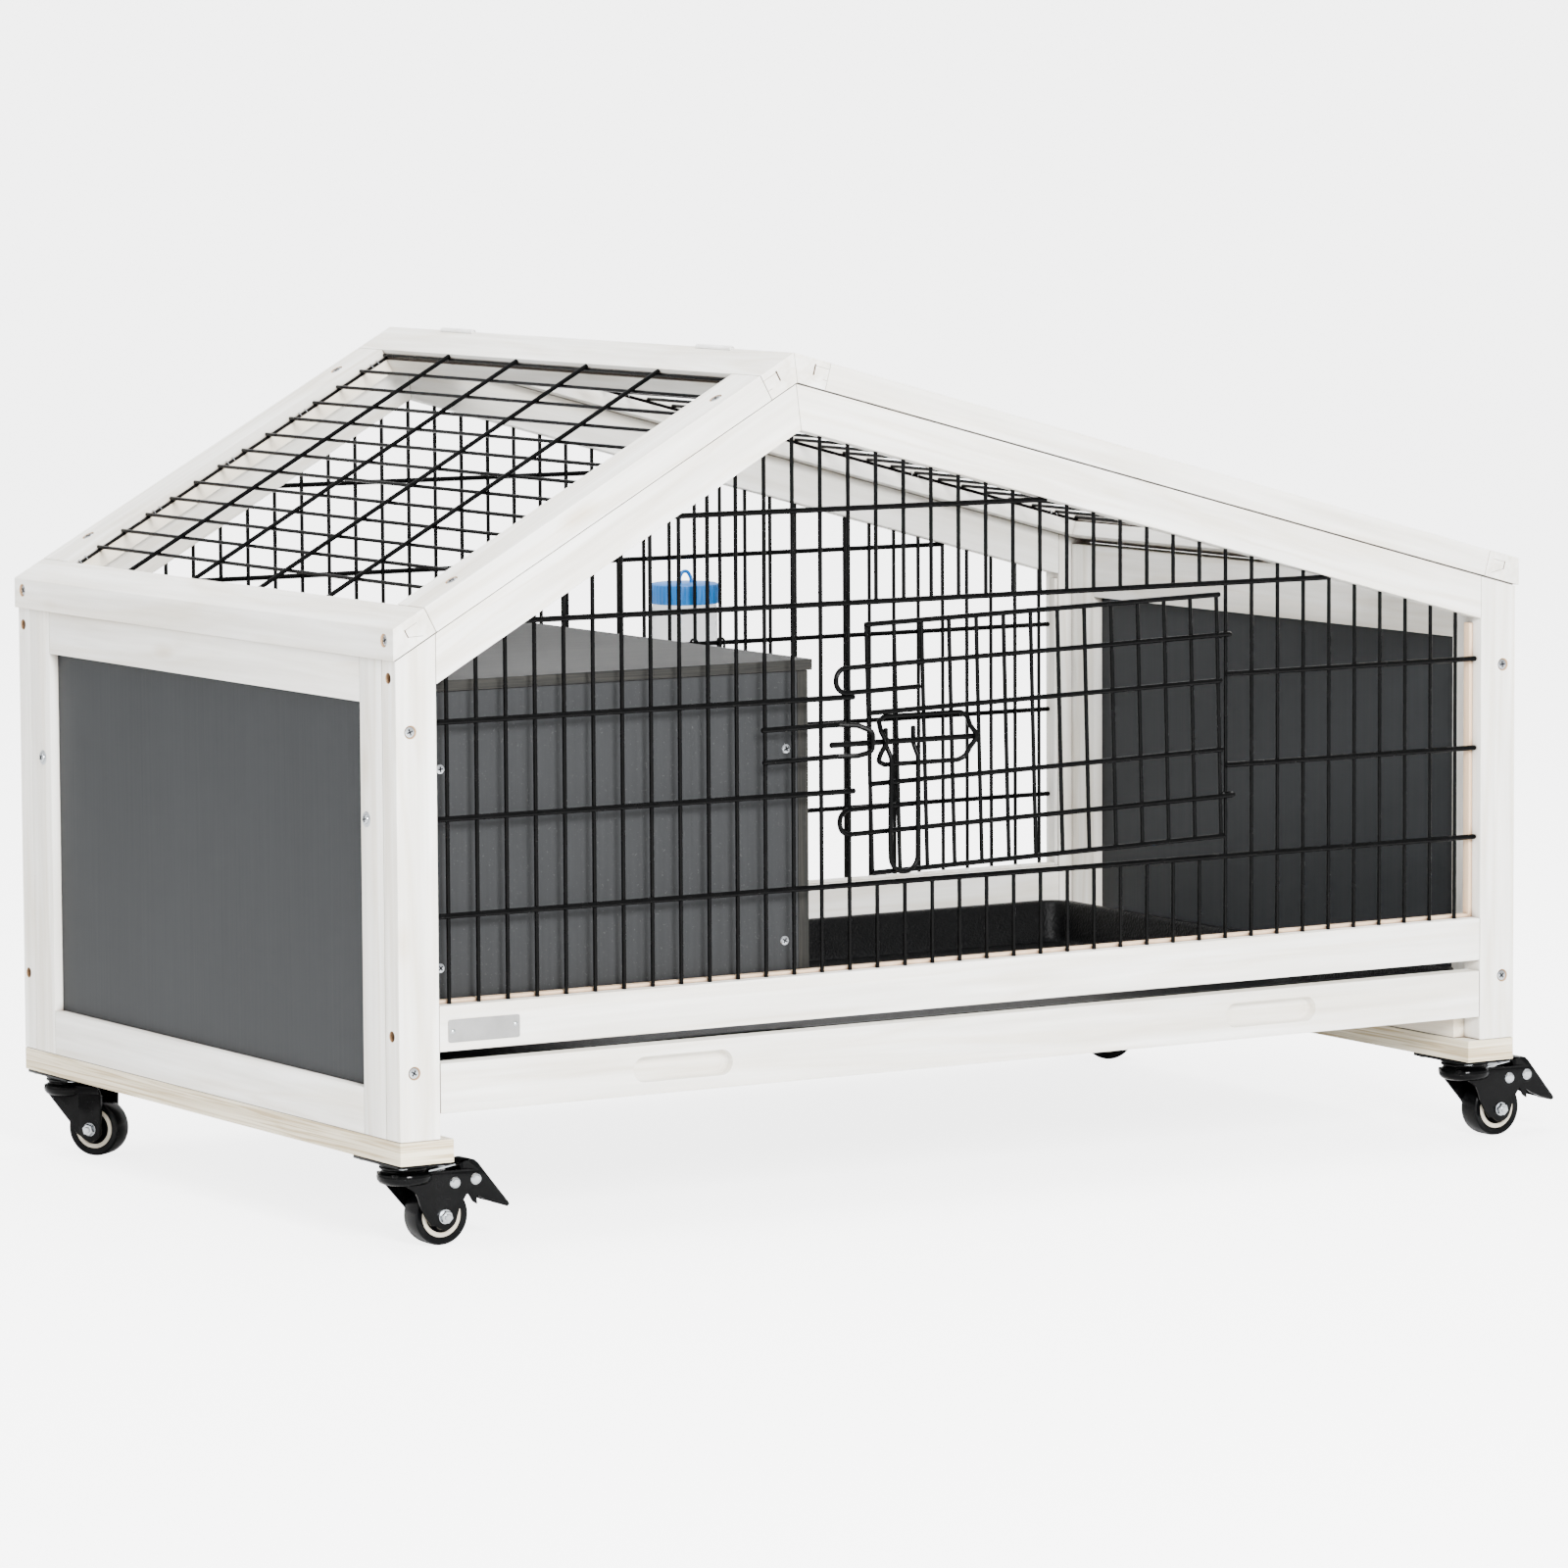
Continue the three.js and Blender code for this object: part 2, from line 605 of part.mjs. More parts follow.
function hideBox(group) {
  const x = [BOARD_T + GAP, HIDE_X];
  const z = [HIDE_BOTTOM_Z, HIDE_TOP_Z];
  const front = [SIDE_Y[0] + 2, SIDE_Y[0] + 2 + HIDE_PLY];
  const rear = [SIDE_Y[1] - 2 - HIDE_PLY, SIDE_Y[1] - 2];
  part(group, 'hide_front_panel', box(x, front, z), STAINED_PLY);
  part(group, 'hide_rear_panel', box(x, rear, z), STAINED_PLY);
  const dividerX = [HIDE_X + GAP, HIDE_X + GAP + DIVIDER_T];
  const doorway = solid(geometryOf(alongY(doorwayShape(), [-20, 20], 10)).rotateZ(Math.PI / 2)
    .translate((dividerX[0] + dividerX[1]) / 2, DEPTH / 2, 0));
  const divider = box(dividerX, [front[0], rear[1]], z).subtract(doorway);
  part(group, 'hide_divider', divider, STAINED_PLY);
  const lid = box([x[0], HIDE_LID_X], SIDE_Y, [HIDE_TOP_Z + GAP, HIDE_TOP_Z + GAP + HIDE_LID_T]);
  part(group, 'hide_top_board', lid, STAINED_PLY);
}

// ---- tray and drawer front ---------------------------------------------------------

// A box whose bottom is smaller than its top by the draft on every side
function draftBox([x0, x1], [y0, y1], [z0, z1], draft) {
  const geometry = new THREE.BoxGeometry(x1 - x0, y1 - y0, z1 - z0);
  const position = geometry.attributes.position;
  for (let i = 0; i < position.count; i += 1) {
    if (position.getZ(i) < 0) {
      position.setX(i, position.getX(i) - Math.sign(position.getX(i)) * draft);
      position.setY(i, position.getY(i) - Math.sign(position.getY(i)) * draft);
    }
  }
  return solid(geometry.translate((x0 + x1) / 2, (y0 + y1) / 2, (z0 + z1) / 2));
}

const inset = ([a, b], by) => [a + by, b - by];

function tray() {
  const [low, high] = TRAY_Z;
  const rim = box(TRAY_X, TRAY_Y, [high - TRAY_WALL, high]);
  const outsideX = inset(TRAY_X, TRAY_RIM - TRAY_WALL);
  const outsideY = inset(TRAY_Y, TRAY_RIM - TRAY_WALL);
  const pan = draftBox(outsideX, outsideY, [low, high], TRAY_DRAFT);
  const inX = inset(TRAY_X, TRAY_RIM);
  const inY = inset(TRAY_Y, TRAY_RIM);
  const inside = draftBox(inX, inY, [low + TRAY_WALL, high + 1], TRAY_DRAFT);
  return rim.add(pan).subtract(inside);
}

function gripShape(centreX) {
  const radius = GRIP_H / 2;
  const straight = GRIP_L / 2 - radius;
  const centreZ = (DRAWER_Z[0] + DRAWER_Z[1]) / 2;
  const shape = new THREE.Shape();
  shape.absarc(centreX + straight, centreZ, radius, -Math.PI / 2, Math.PI / 2);
  shape.absarc(centreX - straight, centreZ, radius, Math.PI / 2, (3 * Math.PI) / 2);
  return shape;
}

function drawer(group) {
  part(group, 'tray', tray(), TRAY_PLASTIC);
  const board = box(inset(INNER_X, GAP), [0, DRAWER_T], DRAWER_Z);
  const grips = GRIP_X.map((x) => alongY(gripShape(x), [-1, GRIP_DEPTH], 6));
  part(group, 'drawer_front', cut(board, grips), WHITE_WOOD);
}

// ---- water bottle ------------------------------------------------------------------

function bottleCap() {
  const lid = turned([[0, 0], [BOTTLE_CAP_R, 0], [BOTTLE_CAP_R, 19], [BOTTLE_CAP_R - 1.5, 21], [0, 21]], 24);
  const outer = [[9, 20], [8.5, 27], [5, 31], [-5, 31], [-8.5, 27], [-9, 20]];
  const inner = [[6, 21.5], [5.5, 26], [4, 28], [-4, 28], [-5.5, 26], [-6, 21.5]];
  return lid.add(wireLoop(outer, inner, 0, 3)).translate([0, 0, BOTTLE_TOP_Z]);
}

function bottleSpout() {
  const collar = turned([[0, 138], [15, 138], [18, 141], [18, 155], [0, 155]], 20);
  return join([collar, rod([0, 4, 142], [0, -8, 133], 4, 8), rod([0, -6, 133], [0, -62, 126], 4, 8)]);
}

function waterBottle(group) {
  const bottle = subgroup(group, BOTTLE_X, DEPTH + BOTTLE_OUT, 0);
  const foot = 155 + GAP;
  const profile = [
    [0, foot], [15, foot], [17, foot + 4], [BOTTLE_R, foot + 18],
    [BOTTLE_R, BOTTLE_TOP_Z - GAP], [0, BOTTLE_TOP_Z - GAP],
  ];
  part(bottle, 'bottle_body', turned(profile, 24), CLEAR_PLASTIC);
  part(bottle, 'bottle_cap', bottleCap(), BLUE_PLASTIC);
  part(bottle, 'bottle_spout', bottleSpout(), BRIGHT_STEEL);
}

// ---- casters -----------------------------------------------------------------------

const PLATE_TOP_Z = CASTER_H - GAP;
const RACE_Z = [57.5, 62.3];
const YOKE_Z = [51, 57.2];
const KINGPIN_R = 4;

function casterPlate() {
  return join([
    box([-BASE_W / 2, BASE_W / 2], [-CASTER_INSET[1] + 2, CASTER_INSET[1] + 6], [RACE_Z[1], PLATE_TOP_Z]),
    rod([0, 0, RACE_Z[0]], [0, 0, RACE_Z[1] + 0.5], 18, 20),
    rod([0, 0, YOKE_Z[0] - 4], [0, 0, RACE_Z[0] + 0.5], KINGPIN_R, 12),
  ]);
}

function forkLeg(braked) {
  const shape = new THREE.Shape();
  shape.moveTo(-14, YOKE_Z[0] + 1);
  shape.lineTo(-14, YOKE_Z[0] - 1.5);
  shape.lineTo(7, 28);
  shape.lineTo(TRAIL - 6, WHEEL_R - 4);
  shape.absarc(TRAIL, WHEEL_R, 7.5, Math.PI * 1.2, Math.PI * 2);
  if (braked) {
    shape.lineTo(TRAIL + 11, 37);
    shape.lineTo(LEVER_PIVOT[0] + 3, 40);
    shape.absarc(...LEVER_PIVOT, 5.5, -Math.PI / 3, Math.PI / 2);
  } else {
    shape.lineTo(TRAIL + 10, 34);
    shape.lineTo(TRAIL + 10, YOKE_Z[0] + 1);
  }
  shape.lineTo(16, YOKE_Z[0] + 1);
  return shape;
}

function fork(braked) {
  const [inner, outer] = FORK_HALF;
  const legs = [[-outer, -inner], [inner, outer]].map((y) => alongY(forkLeg(braked), y, 4));
  const bridge = box([-14, 30], [-outer, outer], [YOKE_Z[0] - 2, YOKE_Z[0] + 1]);
  const yoke = rod([0, 0, YOKE_Z[0]], [0, 0, YOKE_Z[1]], 19, 20);
  const pin = (x, z, radius, reach) => rod([x, -reach, z], [x, reach, z], radius, 8);
  const pieces = [...legs, bridge, yoke, pin(TRAIL, WHEEL_R, 3, outer + 4)];
  for (const y of [-outer - 3, outer]) {
    pieces.push(rod([TRAIL, y, WHEEL_R], [TRAIL, y + 3, WHEEL_R], 5.5, 6));
  }
  if (braked) {
    pieces.push(pin(...LEVER_PIVOT, 2.2, outer + 1.5));
  }
  return join(pieces).subtract(rod([0, 0, YOKE_Z[0] - 5], [0, 0, YOKE_Z[1] + 1], KINGPIN_R + GAP, 12));
}

function wheel() {
  const sides = 24;
  const rim = WHEEL_R / Math.cos(Math.PI / sides);
  const half = WHEEL_W / 2;
  const profile = [
    [3.4, -half], [rim - 2.5, -half], [rim, -half + 4], [rim, half - 4],
    [rim - 2.5, half], [3.4, half], [3.4, -half],
  ];
  const geometry = new THREE.LatheGeometry(profile.map(([r, z]) => new THREE.Vector2(r, z)), sides);
  return solid(geometry.rotateY(Math.PI / sides)).translate([TRAIL, 0, WHEEL_R]);
}

function brakeLever() {
  const [px, pz] = LEVER_PIVOT;
  const shape = outline([
    [px - 12, pz + 10.5], [px - 11.6, pz + 11.6], [px - 7.1, pz + 12.8], [px - 1.6, pz + 13.8],
    [px + 1.5, pz + 13.6], [LEVER_TIP_X, 27], [LEVER_TIP_X - 2.5, 25], [px + 16.8, pz - 19.6],
    [px + 7, pz - 15.5], [px + 1.5, pz - 11.9], [px + 3.1, pz - 19.5], [px - 0.5, pz - 17.5],
    [px - 5, pz - 8], [px - 5.5, pz + 4],
  ].reverse());
  const width = FORK_HALF[0] - 1.2;
  const bore = rod([px, -20, pz], [px, 20, pz], 2.2 + GAP, 8);
  return alongY(shape, [-width, width]).subtract(bore);
}

function caster(group, place) {
  const [side, end] = [place.endsWith('left') ? 0 : 1, place.startsWith('front') ? 0 : 1];
  const x = side ? LENGTH - CASTER_INSET[0] : CASTER_INSET[0];
  const y = end ? DEPTH - CASTER_INSET[1] : CASTER_INSET[1];
  const braked = end === 0;
  const fixed = subgroup(group, x, y, -FRAME_Z);
  const plate = part(fixed, `${place}_caster_plate`, casterPlate(), BLACK_STEEL);
  plate.rotation.z = end * Math.PI;
  const swivel = subgroup(fixed);
  swivel.rotation.z = THREE.MathUtils.degToRad(SWIVELS[place]);
  part(swivel, `${place}_caster_fork`, fork(braked), BLACK_STEEL);
  part(swivel, `${place}_caster_wheel`, wheel(), TYRE);
  if (braked) {
    part(swivel, `${place}_brake_lever`, brakeLever(), BLACK_STEEL);
  }
}

// ---- whole hutch -------------------------------------------------------------------

const hutch = new THREE.Group();
const frame = subgroup(hutch, -X_MID, -Y_MID, FRAME_Z);
gableFrame(frame, 'front', [0, BOARD_T], FRONT_RAIL);
gableFrame(frame, 'rear', [DEPTH - BOARD_T, DEPTH], REAR_RAIL);
sideFrame(frame, 'left', 0, 1, EAVE_LEFT_Z);
sideFrame(frame, 'right', LENGTH, -1, EAVE_RIGHT_Z);
baseAndRunner(frame, 'left', 0, 1);
baseAndRunner(frame, 'right', LENGTH, -1);
part(frame, 'front_wire_wall', frontWall(), BLACK_WIRE);
part(frame, 'rear_wire_wall', rearWall(), BLACK_WIRE);
roofBoards(frame, 'left_roof', LEFT_SLOPE, hingePockets(1));
roofBoards(frame, 'right_roof', RIGHT_SLOPE, hingePockets(-1));
ridgeHinges(frame, frame);
doorAndLatch(frame);
hideBox(frame);
drawer(frame);
waterBottle(frame);
Object.keys(SWIVELS).forEach((place) => caster(frame, place));

export default hutch;
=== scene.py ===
import json
from math import atan, cos, pi, radians, sin, tan
import bpy
import bmesh
from mathutils import Matrix, Vector

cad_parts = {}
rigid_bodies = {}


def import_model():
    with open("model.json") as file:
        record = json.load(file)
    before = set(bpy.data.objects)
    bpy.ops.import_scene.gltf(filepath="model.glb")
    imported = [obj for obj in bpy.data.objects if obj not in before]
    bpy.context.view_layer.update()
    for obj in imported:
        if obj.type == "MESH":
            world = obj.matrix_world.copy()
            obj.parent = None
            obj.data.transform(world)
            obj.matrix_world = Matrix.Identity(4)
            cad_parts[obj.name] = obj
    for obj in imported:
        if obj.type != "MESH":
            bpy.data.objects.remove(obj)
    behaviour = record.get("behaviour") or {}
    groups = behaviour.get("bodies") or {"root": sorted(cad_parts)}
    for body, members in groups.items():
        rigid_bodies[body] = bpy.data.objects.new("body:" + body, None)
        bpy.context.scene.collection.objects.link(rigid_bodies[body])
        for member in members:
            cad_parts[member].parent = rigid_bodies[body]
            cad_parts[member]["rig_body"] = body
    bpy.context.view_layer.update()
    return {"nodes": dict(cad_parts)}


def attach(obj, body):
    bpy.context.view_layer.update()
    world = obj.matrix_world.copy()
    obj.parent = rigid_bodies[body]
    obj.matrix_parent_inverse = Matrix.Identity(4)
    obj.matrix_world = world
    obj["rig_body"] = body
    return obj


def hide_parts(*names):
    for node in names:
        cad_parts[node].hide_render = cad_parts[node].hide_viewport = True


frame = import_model()
NODES = frame["nodes"]

# Lengths of the hutch are in millimetres from the front left corner of the timber frame, x to the right
# and y to the back, with z = 0 on top of the base boards. TO_ROW takes them to the shared frame.
TO_ROW = Matrix.Scale(0.001, 4) @ Matrix.Translation((-528.05, -331.7, 82.0))

LENGTH = 1000.0
DEPTH = 610.0
BOARD_T = 20.5
BOARD_W = 33.0
APEX = (337.5, 535.0)
LEFT, RIGHT = 1, -1
EAVE = {LEFT: (0.0, 347.6), RIGHT: (LENGTH, 357.3)}
ROOF_T = 20.4
LEFT_ANGLE = atan((APEX[1] - EAVE[LEFT][1]) / APEX[0])
RIGHT_ANGLE = atan((APEX[1] - EAVE[RIGHT][1]) / (LENGTH - APEX[0]))
ANGLE = {LEFT: LEFT_ANGLE, RIGHT: RIGHT_ANGLE}
SLOPE_LENGTH = {LEFT: APEX[0] / cos(LEFT_ANGLE), RIGHT: (LENGTH - APEX[0]) / cos(RIGHT_ANGLE)}
RAFTER_W = 40.0
ROOF_PROUD = 1.7
ROOF_RUN = {LEFT: (37.58, 361.28), RIGHT: (31.99, 661.16)}
BODY = {LEFT: "hutch", RIGHT: "lid"}
PITCH = 24.38
FIRST_X = 45.9
UPRIGHTS = 38
ENDS = (("front", 0.0, -1), ("rear", DEPTH, 1))


# ---- materials ----
# Textures are laid out in metres, in each object's own coordinates.

class Graph:
    """The node tree of a material or world, with short ways to add to it."""

    def __init__(self, owner):
        owner.use_nodes = True
        self.owner = owner
        self.nodes = owner.node_tree.nodes
        self.links = owner.node_tree.links

    def feed(self, socket, value):
        """Sets an input to a plain value, or links it to another node's output."""
        if isinstance(value, bpy.types.NodeSocket):
            self.links.new(value, socket)
        else:
            socket.default_value = value

    def add(self, kind, inputs, **settings):
        """A new node. Its settings come first, because they decide which inputs a name finds."""
        node = self.nodes.new("ShaderNode" + kind)
        for name, value in settings.items():
            setattr(node, name, value)
        for name, value in inputs.items():
            self.feed(node.inputs[name], value)
        return node

    def surface(self, **inputs):
        """Sets inputs of the principled shader, with each space in a name written as an underscore."""
        shader = self.nodes["Principled BSDF"]
        for name, value in inputs.items():
            self.feed(shader.inputs[name.replace("_", " ")], value)

    def coords(self, turn=(0, 0, 0), stretch=(1, 1, 1), shift=(0, 0, 0)):
        """Object coordinates, turned so that X runs along the grain, then stretched."""
        source = self.add("TexCoord", {}).outputs["Object"]
        turned = self.add("Mapping", {"Vector": source, "Rotation": turn, "Location": shift})
        return self.add("Mapping", {"Vector": turned.outputs["Vector"], "Scale": stretch}).outputs["Vector"]

    def noise(self, vector, scale=1.0, detail=4.0, distortion=0.0):
        inputs = {"Vector": vector, "Scale": scale, "Detail": detail, "Roughness": 0.55}
        return self.add("TexNoise", {**inputs, "Distortion": distortion}).outputs["Fac"]

    def grain(self, turn, stretch, shift=(0, 0, 0), **options):
        """Noise drawn out along the grain."""
        return self.noise(self.coords(turn, stretch, shift), **options)

    def ramp(self, value, stops):
        node = self.add("ValToRGB", {"Fac": value})
        ends = node.color_ramp.elements
        for i, (place, colour) in enumerate(stops):
            stop = ends[i] if i < 2 else ends.new(place)
            stop.position = place
            stop.color = (*colour, 1)
        return node.outputs["Color"]

    def mix(self, how, factor, a, b):
        node = self.add("Mix", {"Factor": factor, "A": a, "B": b}, data_type="RGBA", blend_type=how)
        return node.outputs["Result"]

    def shade(self, colour, *layers):
        """The colour multiplied by each layer in turn."""
        for layer in layers:
            colour = self.mix("MULTIPLY", 1.0, colour, layer)
        return colour

    def painted_corner_shade(self, colour):
        """Painted shade: darkens the colour, a little towards brown, close to corners, joints and recesses,
        where shade falls.
        """
        near = self.add("AmbientOcclusion", {"Distance": CORNER_SHADE_REACH}, samples=8).outputs["AO"]
        stops = [(0.25, (0.248, 0.2, 0.168)), (0.62, (0.9, 0.89, 0.88)), (0.95, NO_CHANGE)]
        return self.shade(colour, self.ramp(near, stops))

    def between(self, value, low, high):
        """The value, spread from low to high."""
        return self.add("MapRange", {"Value": value, "To Min": low, "To Max": high}).outputs["Result"]

    def bump(self, height, distance, strength=0.5):
        node = self.add("Bump", {"Height": height, "Distance": distance, "Strength": strength})
        self.surface(Normal=node.outputs["Normal"])


NO_CHANGE = (1, 1, 1)
# Reach of the painted shade in corners and joints, in metres.
CORNER_SHADE_REACH = 0.008
GRAIN_TURN = {
    "x": (0, 0, 0),
    "y": (0, 0, radians(-90)),
    "z": (0, radians(90), 0),
    "left": (0, LEFT_ANGLE, 0),
    "right": (0, -RIGHT_ANGLE, 0),
}


def new_material(name):
    return Graph(bpy.data.materials.new(name))


def painted_wood(along, shift):
    """White translucent paint on softwood: the grain shows as faint warm streaks, with a few knots."""
    graph = new_material(f"painted_wood_{along}")
    turn = GRAIN_TURN[along]
    offset = (shift, shift * 0.37, shift * 0.73)
    streaks = graph.grain(turn, (3.2, 70, 70), offset, detail=6, distortion=0.35)
    rings = graph.grain(turn, (1.6, 24, 24), offset, detail=2, distortion=1.4)
    cloud = graph.grain(turn, (6, 14, 14), offset)
    brush = graph.grain(turn, (9, 240, 240), offset)
    fine = graph.grain(turn, (14, 620, 620), offset, detail=3)
    cells = graph.add("TexVoronoi", {"Vector": graph.coords(turn, (5.5, 16, 16), offset), "Scale": 1.0})
    base = graph.ramp(streaks, [(0.34, (0.92, 0.915, 0.885)), (0.64, (0.745, 0.725, 0.675))])
    ringed = graph.ramp(rings, [(0.43, NO_CHANGE), (0.52, (0.9, 0.872, 0.825)), (0.6, NO_CHANGE)])
    tinted = graph.ramp(cloud, [(0.35, NO_CHANGE), (0.75, (0.93, 0.915, 0.885))])
    brushed = graph.ramp(brush, [(0.38, NO_CHANGE), (0.66, (0.93, 0.93, 0.925))])
    knots = graph.ramp(cells.outputs["Distance"], [(0.035, (0.8, 0.74, 0.66)), (0.13, NO_CHANGE)])
    colour = graph.shade(base, ringed, tinted, brushed, knots)
    # Corners and joints of the paint get painted shade.
    graph.surface(Base_Color=graph.painted_corner_shade(colour), Roughness=graph.between(streaks, 0.45, 0.68))
    graph.surface(Specular_IOR_Level=0.35)
    graph.bump(fine, 0.00016)
    return graph.owner


def raw_wood(name, light, dark, along="x"):
    graph = new_material(name)
    streaks = graph.grain(GRAIN_TURN[along], (4, 160, 160), detail=5, distortion=0.4)
    colour = graph.ramp(streaks, [(0.3, light), (0.7, dark)])
    # Corners and joints of the bare wood get painted shade.
    graph.surface(Base_Color=graph.painted_corner_shade(colour), Roughness=0.75)
    graph.bump(streaks, 0.0002)
    return graph.owner


def plywood(name, face, face_dark, layers, thickness, along, roughness=0.6, specks=0.0, shine=0.3):
    """Faces with a fine grain; edges, found from the object-space normal, show the glued layers."""
    graph = new_material(name)
    turn = GRAIN_TURN[along]
    fine = graph.grain(turn, (7, 230, 230), distortion=0.2)
    cloud = graph.grain(turn, (3, 9, 9), detail=3)
    blotch = graph.ramp(cloud, [(0.3, NO_CHANGE), (0.75, (0.88, 0.88, 0.88))])
    face_colour = graph.shade(graph.ramp(fine, [(0.3, face), (0.72, face_dark)]), blotch)
    if specks:
        dots = graph.grain(turn, (620, 620, 620), detail=2)
        light = graph.ramp(dots, [(0.66, (0, 0, 0)), (0.74, (specks, specks, specks * 0.97))])
        face_colour = graph.mix("ADD", 1.0, face_colour, light)
    stretch = [420 if axis == thickness else 7 for axis in "xyz"]
    bands = graph.grain((0, 0, 0), stretch, detail=3, distortion=0.6)
    normal = graph.add("SeparateXYZ", {"Vector": graph.add("TexCoord", {}).outputs["Normal"]})
    size = graph.add("Math", {0: normal.outputs[thickness.upper()]}, operation="ABSOLUTE")
    is_face = graph.add("Math", {0: size.outputs[0], 1: 0.7}, operation="GREATER_THAN")
    colour = graph.mix("MIX", is_face.outputs[0], graph.ramp(bands, layers), face_colour)
    # Corners and joints of the plywood get painted shade.
    graph.surface(Base_Color=graph.painted_corner_shade(colour), Roughness=roughness, Specular_IOR_Level=shine)
    graph.bump(fine, 0.00015)
    return graph.owner


def coated(name, colour, roughness, metallic=0.0, specular=0.5, speck=2600.0, wear=None):
    """Lacquer, moulded plastic or plated steel: an even colour with a fine surface and a little wear."""
    graph = new_material(name)
    cloud = graph.noise(graph.coords(), 55)
    worn = wear or tuple(min(1.0, c * 1.3 + 0.001) for c in colour)
    graph.surface(Base_Color=graph.ramp(cloud, [(0.4, colour), (0.8, worn)]),
                  Roughness=graph.between(cloud, roughness * 0.8, roughness * 1.3),
                  Metallic=metallic, Specular_IOR_Level=specular)
    graph.bump(graph.noise(graph.coords(), speck, 2), 0.00004)
    return graph.owner


def pebbled(name, colour, roughness):
    graph = new_material(name)
    cells = graph.add("TexVoronoi", {"Vector": graph.coords(), "Scale": 520})
    cloud = graph.noise(graph.coords(), 30)
    lighter = tuple(c * 1.5 for c in colour)
    graph.surface(Base_Color=graph.ramp(cloud, [(0.35, colour), (0.75, lighter)]),
                  Roughness=roughness, Specular_IOR_Level=0.1)
    graph.bump(cells.outputs["Distance"], 0.0005, 0.8)
    return graph.owner


def clear_plastic(name):
    graph = new_material(name)
    cloud = graph.noise(graph.coords(), 70, 3)
    tint = graph.ramp(cloud, [(0.3, (0.985, 0.99, 0.995)), (0.8, (0.96, 0.97, 0.98))])
    graph.surface(Base_Color=tint, Roughness=0.3, Transmission_Weight=0.94, IOR=1.1)
    graph.bump(cloud, 0.0002, 0.3)
    return graph.owner


WHITE = {along: painted_wood(along, 0.41 * i) for i, along in enumerate(GRAIN_TURN)}
RAW = raw_wood("raw_wood", (0.45, 0.28, 0.14), (0.3, 0.17, 0.08), "z")
BEAD = raw_wood("bead_wood", (0.74, 0.55, 0.38), (0.62, 0.43, 0.27), "z")
ROOF_BEAD = raw_wood("roof_bead_wood", (0.8, 0.74, 0.63), (0.72, 0.64, 0.5), "left")
# Near-black brown for the strips over the roof beads: bare wood darkened with painted shade of the slot
# there.
SLOT_SHADED_WOOD = raw_wood("slot_wood_painted_shade", (0.045, 0.025, 0.012), (0.02, 0.012, 0.007))
RUNNER = raw_wood("runner_wood", (0.8, 0.74, 0.62), (0.66, 0.56, 0.42), "y")
CREAM_LAYERS = [(0.38, (0.72, 0.65, 0.5)), (0.5, (0.6, 0.52, 0.37)), (0.6, (0.42, 0.33, 0.2))]
BASE_PLY = plywood("base_ply", (0.74, 0.7, 0.61), (0.69, 0.64, 0.53), CREAM_LAYERS, "z", "y")
PANEL_LAYERS = [(0.4, (0.02, 0.021, 0.022)), (0.6, (0.04, 0.04, 0.04))]
PANEL_PLY = plywood("panel_ply", (0.0192, 0.0208, 0.0226), (0.0173, 0.0188, 0.0205), PANEL_LAYERS,
                    "x", "z", 0.5, shine=0.12)
GREY_LAYERS = [(0.4, (0.009, 0.009, 0.0085)), (0.5, (0.021, 0.02, 0.0175)), (0.58, (0.012, 0.012, 0.011))]
HIDE_FACE = ((0.022, 0.023, 0.0242), (0.0185, 0.0194, 0.0203))
HIDE_Y = plywood("hide_ply_y", *HIDE_FACE, GREY_LAYERS, "y", "z", specks=0.02, shine=0.1)
HIDE_X = plywood("hide_ply_x", *HIDE_FACE, GREY_LAYERS, "x", "z", specks=0.02, shine=0.1)
HIDE_Z = plywood("hide_ply_z", (0.056, 0.057, 0.057), (0.043, 0.044, 0.0445), GREY_LAYERS, "z", "x",
                 specks=0.05, shine=0.12)
WIRE = coated("wire", (0.0006, 0.00065, 0.0007), 0.25, specular=0.055)
BLACK = coated("black_steel", (0.0012, 0.0013, 0.0014), 0.1, specular=0.07, speck=900)
STEEL = coated("plated_steel", (0.4, 0.42, 0.44), 0.24, metallic=1.0)
HINGE = coated("hinge_paint", (0.78, 0.775, 0.76), 0.4)
# Near-black for the flat cross on the screw heads: painted shade of the cross recess.
CROSS_SHADE = coated("screw_cross_painted_shade", (0.012, 0.013, 0.015), 0.5, specular=0.2)
TRAY = pebbled("tray_plastic", (0.0017, 0.0018, 0.0019), 0.45)
TYRE = coated("tyre", (0.0015, 0.0016, 0.0018), 0.2, specular=0.08)
CREAM = coated("wheel_ring", (0.42, 0.38, 0.3), 0.4)
BLUE = coated("blue_plastic", (0.004, 0.14, 0.46), 0.35, specular=0.3, wear=(0.008, 0.18, 0.54))
CLEAR = clear_plastic("clear_plastic")
PLATE = coated("maker_plate", (0.22, 0.22, 0.216), 0.4, metallic=0.25)
# Walls of the grooves cut along the roof joints: bare wood darkened with painted shade of the gap.
GAP_SHADED_WOOD = raw_wood("gap_wood_painted_shade", (0.16, 0.13, 0.1), (0.1, 0.08, 0.06))


# ---- geometry helpers ----

def into_scene(obj):
    bpy.context.scene.collection.objects.link(obj)
    return obj


def mesh_object(name, bm, finishes):
    mesh = bpy.data.meshes.new(name)
    bm.to_mesh(mesh)
    bm.free()
    for finish in finishes:
        mesh.materials.append(finish)
    return into_scene(bpy.data.objects.new(name, mesh))


